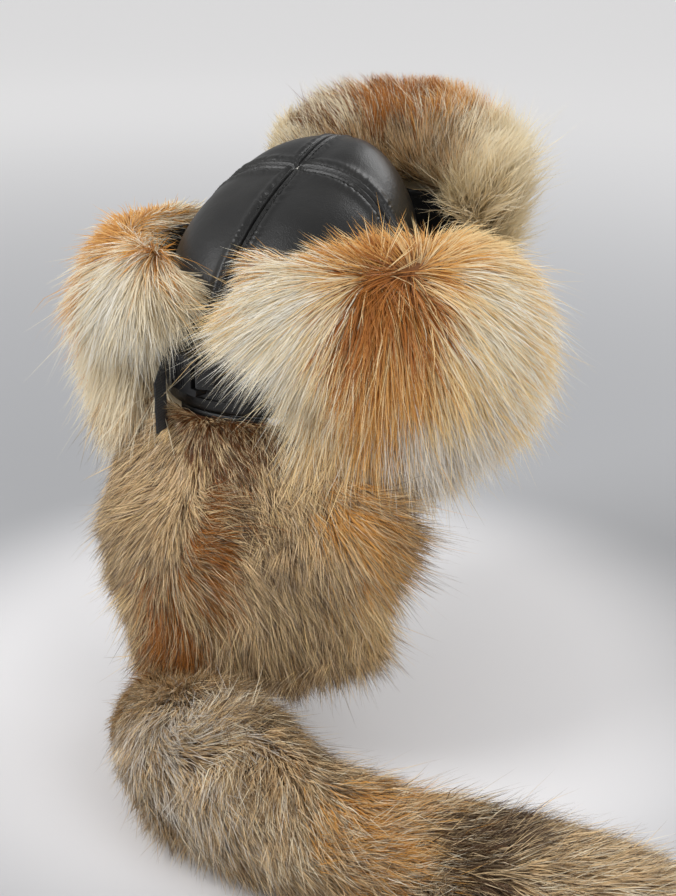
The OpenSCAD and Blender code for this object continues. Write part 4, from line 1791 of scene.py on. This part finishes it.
@dataclass(frozen=True)
class Sheets:
    """The leather sheets of the visor, ear flaps and neck cape. Sizes in millimetres."""

    stand: float = 6.2
    half_width: float = 95.0
    half_length: float = 112.0
    foot: float = 3.0
    leather: float = 1.2
    flap_height: float = 98.0
    flap_rear: float = 90.0
    flap_front: float = 70.0
    flap_reach: float = 16.0
    flap_lean: float = 8.0
    visor_half_width: float = 62.0
    visor_height: float = 118.0
    visor_lean: float = 12.0
    visor_shift: float = 16.0
    cape_length: float = 200.0
    cape_root_half_width: float = 46.0
    cape_sewn_half_width: float = 38.0
    cape_left_spread: float = 99.0
    cape_left_taper: float = 30.0
    cape_right_spread: float = 130.0
    cape_right_taper: float = 18.0
    cape_drift: float = 36.0

    def flap_point(self, s: float, k: float) -> Place:
        """Gives a point of the right flap's leather.

        Args:
            s: The share from rear to front.
            k: The share up.

        Returns:
            The point, in metres.
        """
        z = self.flap_height * k * (1 - (0.06 if s < 0.5 else 0.3) * abs(2 * s - 1) ** 3)
        part = min(max((z - 45) / 40, 0.0), 1.0)
        rear = self.flap_rear + self.flap_reach * part * part * (3 - 2 * part)
        y = -rear + (rear + self.flap_front) * s
        x = (self.half_width + self.stand) * math.sqrt(1 - (y / (self.half_length + self.stand)) ** 2)
        lean = self.flap_lean * (z / self.flap_height) ** 2
        return (x + lean) * MM, y * MM, (self.foot + z) * MM

    def visor_point(self, s: float, k: float) -> Place:
        """Gives a point of the visor's leather.

        Args:
            s: The share from right to left.
            k: The share up.

        Returns:
            The point, in metres.
        """
        x = self.visor_half_width - 2 * self.visor_half_width * s
        y = (self.half_length + self.stand) * math.sqrt(1 - (x / (self.half_width + self.stand)) ** 2)
        z = self.visor_height * k * (1 - (0.24 if s < 0.5 else 0.12) * abs(2 * s - 1) ** 3)
        up = z / self.visor_height
        ease = min(up, 1.0) ** 2 * (3 - 2 * min(up, 1.0))
        across = x * (1 + 0.45 * ease) + self.visor_shift * ease
        return across * MM, (y + self.visor_lean * up**2) * MM, (self.foot + z) * MM

    def cape_point(self, s: float, k: float) -> Place:
        """Gives a point of the cape's leather.

        Args:
            s: The share from left to right.
            k: The share down.

        Returns:
            The point, in metres.
        """
        u = 0.8 * (2 * s - 1)
        left = self.cape_left_spread - self.cape_left_taper * k**3
        right = self.cape_right_spread - self.cape_right_taper * k**3
        spread = left if u < 0 else right
        along = self.cape_drift * k**2
        widen = min(k / 0.3, 1.0)
        ease = widen * widen * (3 - 2 * widen)
        root = self.cape_root_half_width
        half = root + (spread + (-along if u < 0 else along) - root) * ease
        x = u * half
        sewn = min(abs(x), self.cape_sewn_half_width)
        wide, deep = self.half_width - self.leather, self.half_length - self.leather
        y = -deep * math.sqrt(1 - (sewn / wide) ** 2)
        corner = 0.06 if u < 0 else 0.24
        drop = self.cape_length * k * (1 - corner * abs(u) ** 3)
        return (x - along) * MM, (y - 0.6) * MM, (-1.95 - drop) * MM

    def sheet(
        self, name: str, body: str, node: str, place: PlaceOn,
        out: Vector, mirrored: bool = False,
    ) -> bpy.types.Object:
        """Builds one sheet, its outer side towards its fur.

        Args:
            name: The piece's name.
            body: The body that it rides on.
            node: The node that it replaces.
            place: Gives a point of its outer side.
            out: The way its outer side faces, before it is mirrored.
            mirrored: Whether it is the mirror image, on the wearer's left.

        Returns:
            The piece.
        """
        flip = -1 if mirrored else 1

        def laid(s: float, k: float) -> Place:
            """Gives a point of the sheet, on its own side of the hat."""
            x, y, z = place(s, k)
            return flip * x, y, z

        way = Vector((flip * out.x, out.y, out.z))
        shape = laid_grid(64, 48, laid, lambda at: way)
        return stand_in(name, shape, body, "black_leather", node, LeatherFinish(), self.leather * MM)

    def hem(
        self, name: str, body: str, place: PlaceOn, out: Vector, mirrored: bool = False
    ) -> bpy.types.Object:
        """Sews the row of stitches inside a turned-up sheet's edge, on the side that faces the crown.

        Args:
            name: The piece's name.
            body: The body that it rides on.
            place: Gives a point of the sheet's outer side.
            out: The way its outer side faces, before it is mirrored.
            mirrored: Whether the sheet is on the wearer's left.

        Returns:
            The piece.
        """
        flip = -1 if mirrored else 1
        inset, low, behind = 0.05, 0.04, 0.00125
        corners = [(inset, low), (inset, 1 - inset), (1 - inset, 1 - inset), (1 - inset, low)]
        path = []
        for (s0, k0), (s1, k1) in zip(corners, corners[1:]):
            for step in range(120):
                part = step / 120
                x, y, z = place(s0 + (s1 - s0) * part, k0 + (k1 - k0) * part)
                here = Vector((flip * x, y, z)) - Vector((flip * out.x, out.y, out.z)) * behind
                path.append((here, -Vector((flip * out.x, out.y, out.z))))
        return sew(name, body, path)

    def build(self) -> list[bpy.types.Object]:
        """Builds every sheet.

        Returns:
            The pieces.
        """
        front, right, back = Vector((0, 1, 0)), Vector((1, 0, 0)), Vector((0, -1, 0))
        visor = self.sheet("visor_facing", "visor", "visor_leather", self.visor_point, front)
        near = self.sheet("right_flap_facing", "right_flap", "right_flap_leather", self.flap_point, right)
        far = self.sheet("left_flap_facing", "left_flap", "left_flap_leather", self.flap_point, right, True)
        cape = self.sheet("cape_facing", "neck_cape", "cape_leather", self.cape_point, back)
        visor_hem = self.hem("visor_hem", "visor", self.visor_point, front)
        near_hem = self.hem("right_flap_hem", "right_flap", self.flap_point, right)
        far_hem = self.hem("left_flap_hem", "left_flap", self.flap_point, right, True)
        return [visor, near, far, cape, visor_hem, near_hem, far_hem]


@dataclass(frozen=True)
class Hardware:
    """The strap, its tabs and buckle, and the layers that hardly show: carried-over nodes with finishes."""

    webbing: tuple[str, ...] = ("strap_right", "strap_left", "strap_end")
    tabs: tuple[str, ...] = ("strap_tab_right", "strap_tab_left")
    plastic: tuple[str, ...] = ("buckle_socket", "buckle_plug", "buckle_prong_upper", "buckle_prong_lower")

    def build(self, frame: dict) -> list[bpy.types.Object]:
        """Dresses the nodes.

        Args:
            frame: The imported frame.

        Returns:
            The nodes' objects.
        """
        nodes = frame["nodes"]
        for name in self.webbing:
            soften_edges(nodes[name], 0.0003, 1)
            WebbingFinish().cover(nodes[name])
        for name in self.tabs:
            soften_edges(nodes[name], 0.0004, 2)
            LeatherFinish().cover(nodes[name])
        for name in self.plastic:
            soften_edges(nodes[name], 0.00035, 2)
            PlasticFinish().cover(nodes[name])
        wadding = FeltFinish("white_wadding", from_screen(232, 228, 218), from_screen(206, 200, 188))
        felt = FeltFinish(
            "grey_interlining", from_screen(150, 148, 142), from_screen(118, 116, 110), 900.0, 0.0003
        )
        skin = FeltFinish("tail_skin", from_screen(168, 128, 92), from_screen(120, 84, 56), 300.0, 0.0008)
        wadding.cover(nodes["crown_wadding"])
        felt.cover(nodes["visor_interlining"])
        skin.cover(nodes["tail_pelt"])
        return [nodes[name] for name in self.webbing + self.tabs + self.plastic]


# ---- Studio ----


@dataclass(frozen=True)
class Studio:
    """A pale floor with a ring of painted shade and painted light far off, soft lamps and a pale world."""

    floor_height: float = -0.2578
    # The middle colour is a greyer ring of the floor: partly a backdrop's own pale grey and partly painted
    # shade. The far colour and the glow below are painted light: paler far off, and a glow that only the
    # camera sees.
    near: Colour = from_screen(242, 241, 243)
    middle: Colour = from_screen(178, 179, 182)
    far: Colour = from_screen(250, 249, 250)
    far_painted_glow: float = 0.22

    def floor(self) -> bpy.types.Object:
        """Builds the floor: pale round the hat, greyer beyond it with painted shade, and painted light far off
        that is paler and glows to the camera.

        Returns:
            The floor.
        """
        shape = bmesh.new()
        bmesh.ops.create_grid(shape, x_segments=1, y_segments=1, size=12.0)
        bmesh.ops.translate(shape, verts=shape.verts, vec=(0, 0, self.floor_height))
        floor = bpy.data.objects.new("floor", mesh_from(shape, "floor"))
        bpy.context.scene.collection.objects.link(floor)
        material = bpy.data.materials.new("pale_floor")
        material.use_nodes = True
        tree = material.node_tree
        shader = tree.nodes["Principled BSDF"]
        place = object_place(tree)
        x, y, _ = axes_of(tree, place)
        radius = (x * x + y * y).of("SQRT")
        # Painted shade in the greyer ring beyond the hat, and painted light far off: a paler colour and a glow
        # for camera rays only.
        inner = mix_colours(tree, radius.rising(0.24, 0.44), self.near, self.middle)
        link(tree, mix_colours(tree, radius.rising(0.5, 4.5), inner, self.far), shader, "Base Color")
        shader.inputs["Emission Color"].default_value = (1.0, 1.0, 1.0, 1.0)
        path = add_node(tree, "ShaderNodeLightPath", {}, out="Is Camera Ray")
        link(tree, path * radius.rising(0.5, 3.6) * self.far_painted_glow, shader, "Emission Strength")
        shader.inputs["Roughness"].default_value = 0.55
        shader.inputs["Specular IOR Level"].default_value = 0.2
        floor.data.materials.append(material)
        floor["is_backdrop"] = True
        return floor

    def lamp(self, name: str, at: Place, size: float, power: float) -> None:
        """Hangs one soft lamp that faces the hat.

        Args:
            name: The lamp's name.
            at: Where it hangs.
            size: How wide it is, in metres.
            power: Its power, in watts.
        """
        data = bpy.data.lights.new(name, "AREA")
        data.shape = "DISK"
        data.size = size
        data.energy = power
        lamp = bpy.data.objects.new(name, data)
        place = Vector(at)
        turned = place.normalized().to_track_quat("Z", "Y").to_matrix().to_4x4()
        lamp.matrix_world = Matrix.Translation(place) @ turned
        bpy.context.scene.collection.objects.link(lamp)

    def world(self) -> None:
        """Lights everything softly, with a paler world for the camera and for rays that pass through."""
        world = bpy.data.worlds.new("studio")
        bpy.context.scene.world = world
        world.use_nodes = True
        tree = world.node_tree
        path = add_node(tree, "ShaderNodeLightPath", {}, out="Is Camera Ray")
        outputs = path.output.node.outputs
        seen = path.maths("MAXIMUM", path, Socket(tree, outputs["Is Transmission Ray"]))
        tree.nodes["Background"].inputs["Color"].default_value = (1.0, 1.0, 1.0, 1.0)
        tree.links.new((seen * 0.30 + 0.50).output, tree.nodes["Background"].inputs["Strength"])

    def build(self) -> None:
        """Builds the studio."""
        self.floor()
        self.world()
        self.lamp("key", (-1.2, -1.5, 2.0), 1.4, 34.0)
        self.lamp("fill", (2.0, -0.8, 1.2), 1.6, 16.0)
        self.lamp("back", (0.4, 2.0, 1.8), 1.4, 18.0)


def misses(view: Viewpoint, frame: dict, fur: dict, whorls: dict) -> dict[str, list[float | None]]:
    """Measures how far each image point's thing shows from it.

    Args:
        view: The camera.
        frame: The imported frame.
        fur: Each coat's pieces.
        whorls: Each whorl's place.

    Returns:
        For each point, how far off it shows across and down, with None where an edge has no place that way.
    """

    def seen(*pieces: bpy.types.Object) -> Array:
        """Gives where the vertices of pieces show."""
        return view.shown(np.concatenate([np.array([v.co for v in piece.data.vertices]) for piece in pieces]))

    def edge(places: Array, side: int, share: float = 0.5) -> float:
        """Gives where one vertex in two hundred still reaches: left or top at a side of 1, right at -1."""
        return float(np.percentile(places, share if side > 0 else 100 - share))

    nodes = frame["nodes"]
    every = {name: seen(*pieces) for name, pieces in fur.items()}
    tail_low = every["tail"][np.abs(every["tail"][:, 1] - IMAGE_POINTS["tail_ball_left"][1]) < 60]
    cape_side = every["cape"][np.abs(every["cape"][:, 1] - IMAGE_POINTS["cape_right"][1]) < 20]
    buckle = seen(nodes["buckle_socket"], nodes["buckle_plug"])
    end = seen(nodes["strap_end"])
    top = view.shown(np.array([Crown().point(0.0, Crown().top_rise, 0.0)]))[0]
    found: dict[str, tuple[float | None, float | None]] = {
        "hat_left": (edge(every["left_flap"][:, 0], 1), None),
        "hat_top": (None, edge(every["visor"][:, 1], 1)),
        "crown_seams_meet": tuple(top),
        "buckle_middle": tuple((buckle.min(0) + buckle.max(0)) / 2),
        "strap_end_foot": tuple(end[end[:, 1].argmax()]),
        "near_flap_right": (edge(every["right_flap"][:, 0], -1), None),
        "visor_right": (edge(every["visor"][:, 0], -1), None),
        "cape_right": (edge(cape_side[:, 0], -1), None),
        "tail_ball_left": (edge(tail_low[:, 0], 1), None),
    }
    found.update({name: tuple(view.shown(np.array([place]))[0]) for name, place in whorls.items()})
    return {
        name: [None if at is None else round(float(at - goal), 1) for at, goal in zip(found[name], point)]
        for name, point in IMAGE_POINTS.items()
    }


def main() -> None:
    """Builds the hat round its frame."""
    logging.basicConfig(level=logging.INFO, format="%(name)s: %(message)s")
    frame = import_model()
    cad_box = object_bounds()
    view = Viewpoint()
    view.place()
    for piece in Crown().build():
        LOG.info("crown piece %s", piece.name)
    for piece in Sheets().build():
        LOG.info("sheet %s", piece.name)
    for piece in Hardware().build(frame):
        LOG.info("carried over %s", piece.name)
    proud = np.array(HAIR_PROUD)
    room = np.array([np.array(cad_box[0]) - proud, np.array(cad_box[1]) + proud])
    room[0, 2] = Studio.floor_height + FLOOR_GAP
    coats = Furs().coats(frame, view)
    fur = {}
    for coat in coats:
        fur[coat.name] = coat.build(frame, room)
        for piece in fur[coat.name]:
            LOG.info("coat piece %s", piece.name)
    Studio().build()
    bpy.context.scene.view_settings.view_transform = "Standard"
    whorls = {"near_flap_whorl": coats[0].whorl, "far_flap_whorl": coats[1].whorl}
    misses(view, frame, fur, whorls)


if __name__ == "__main__":
    main()
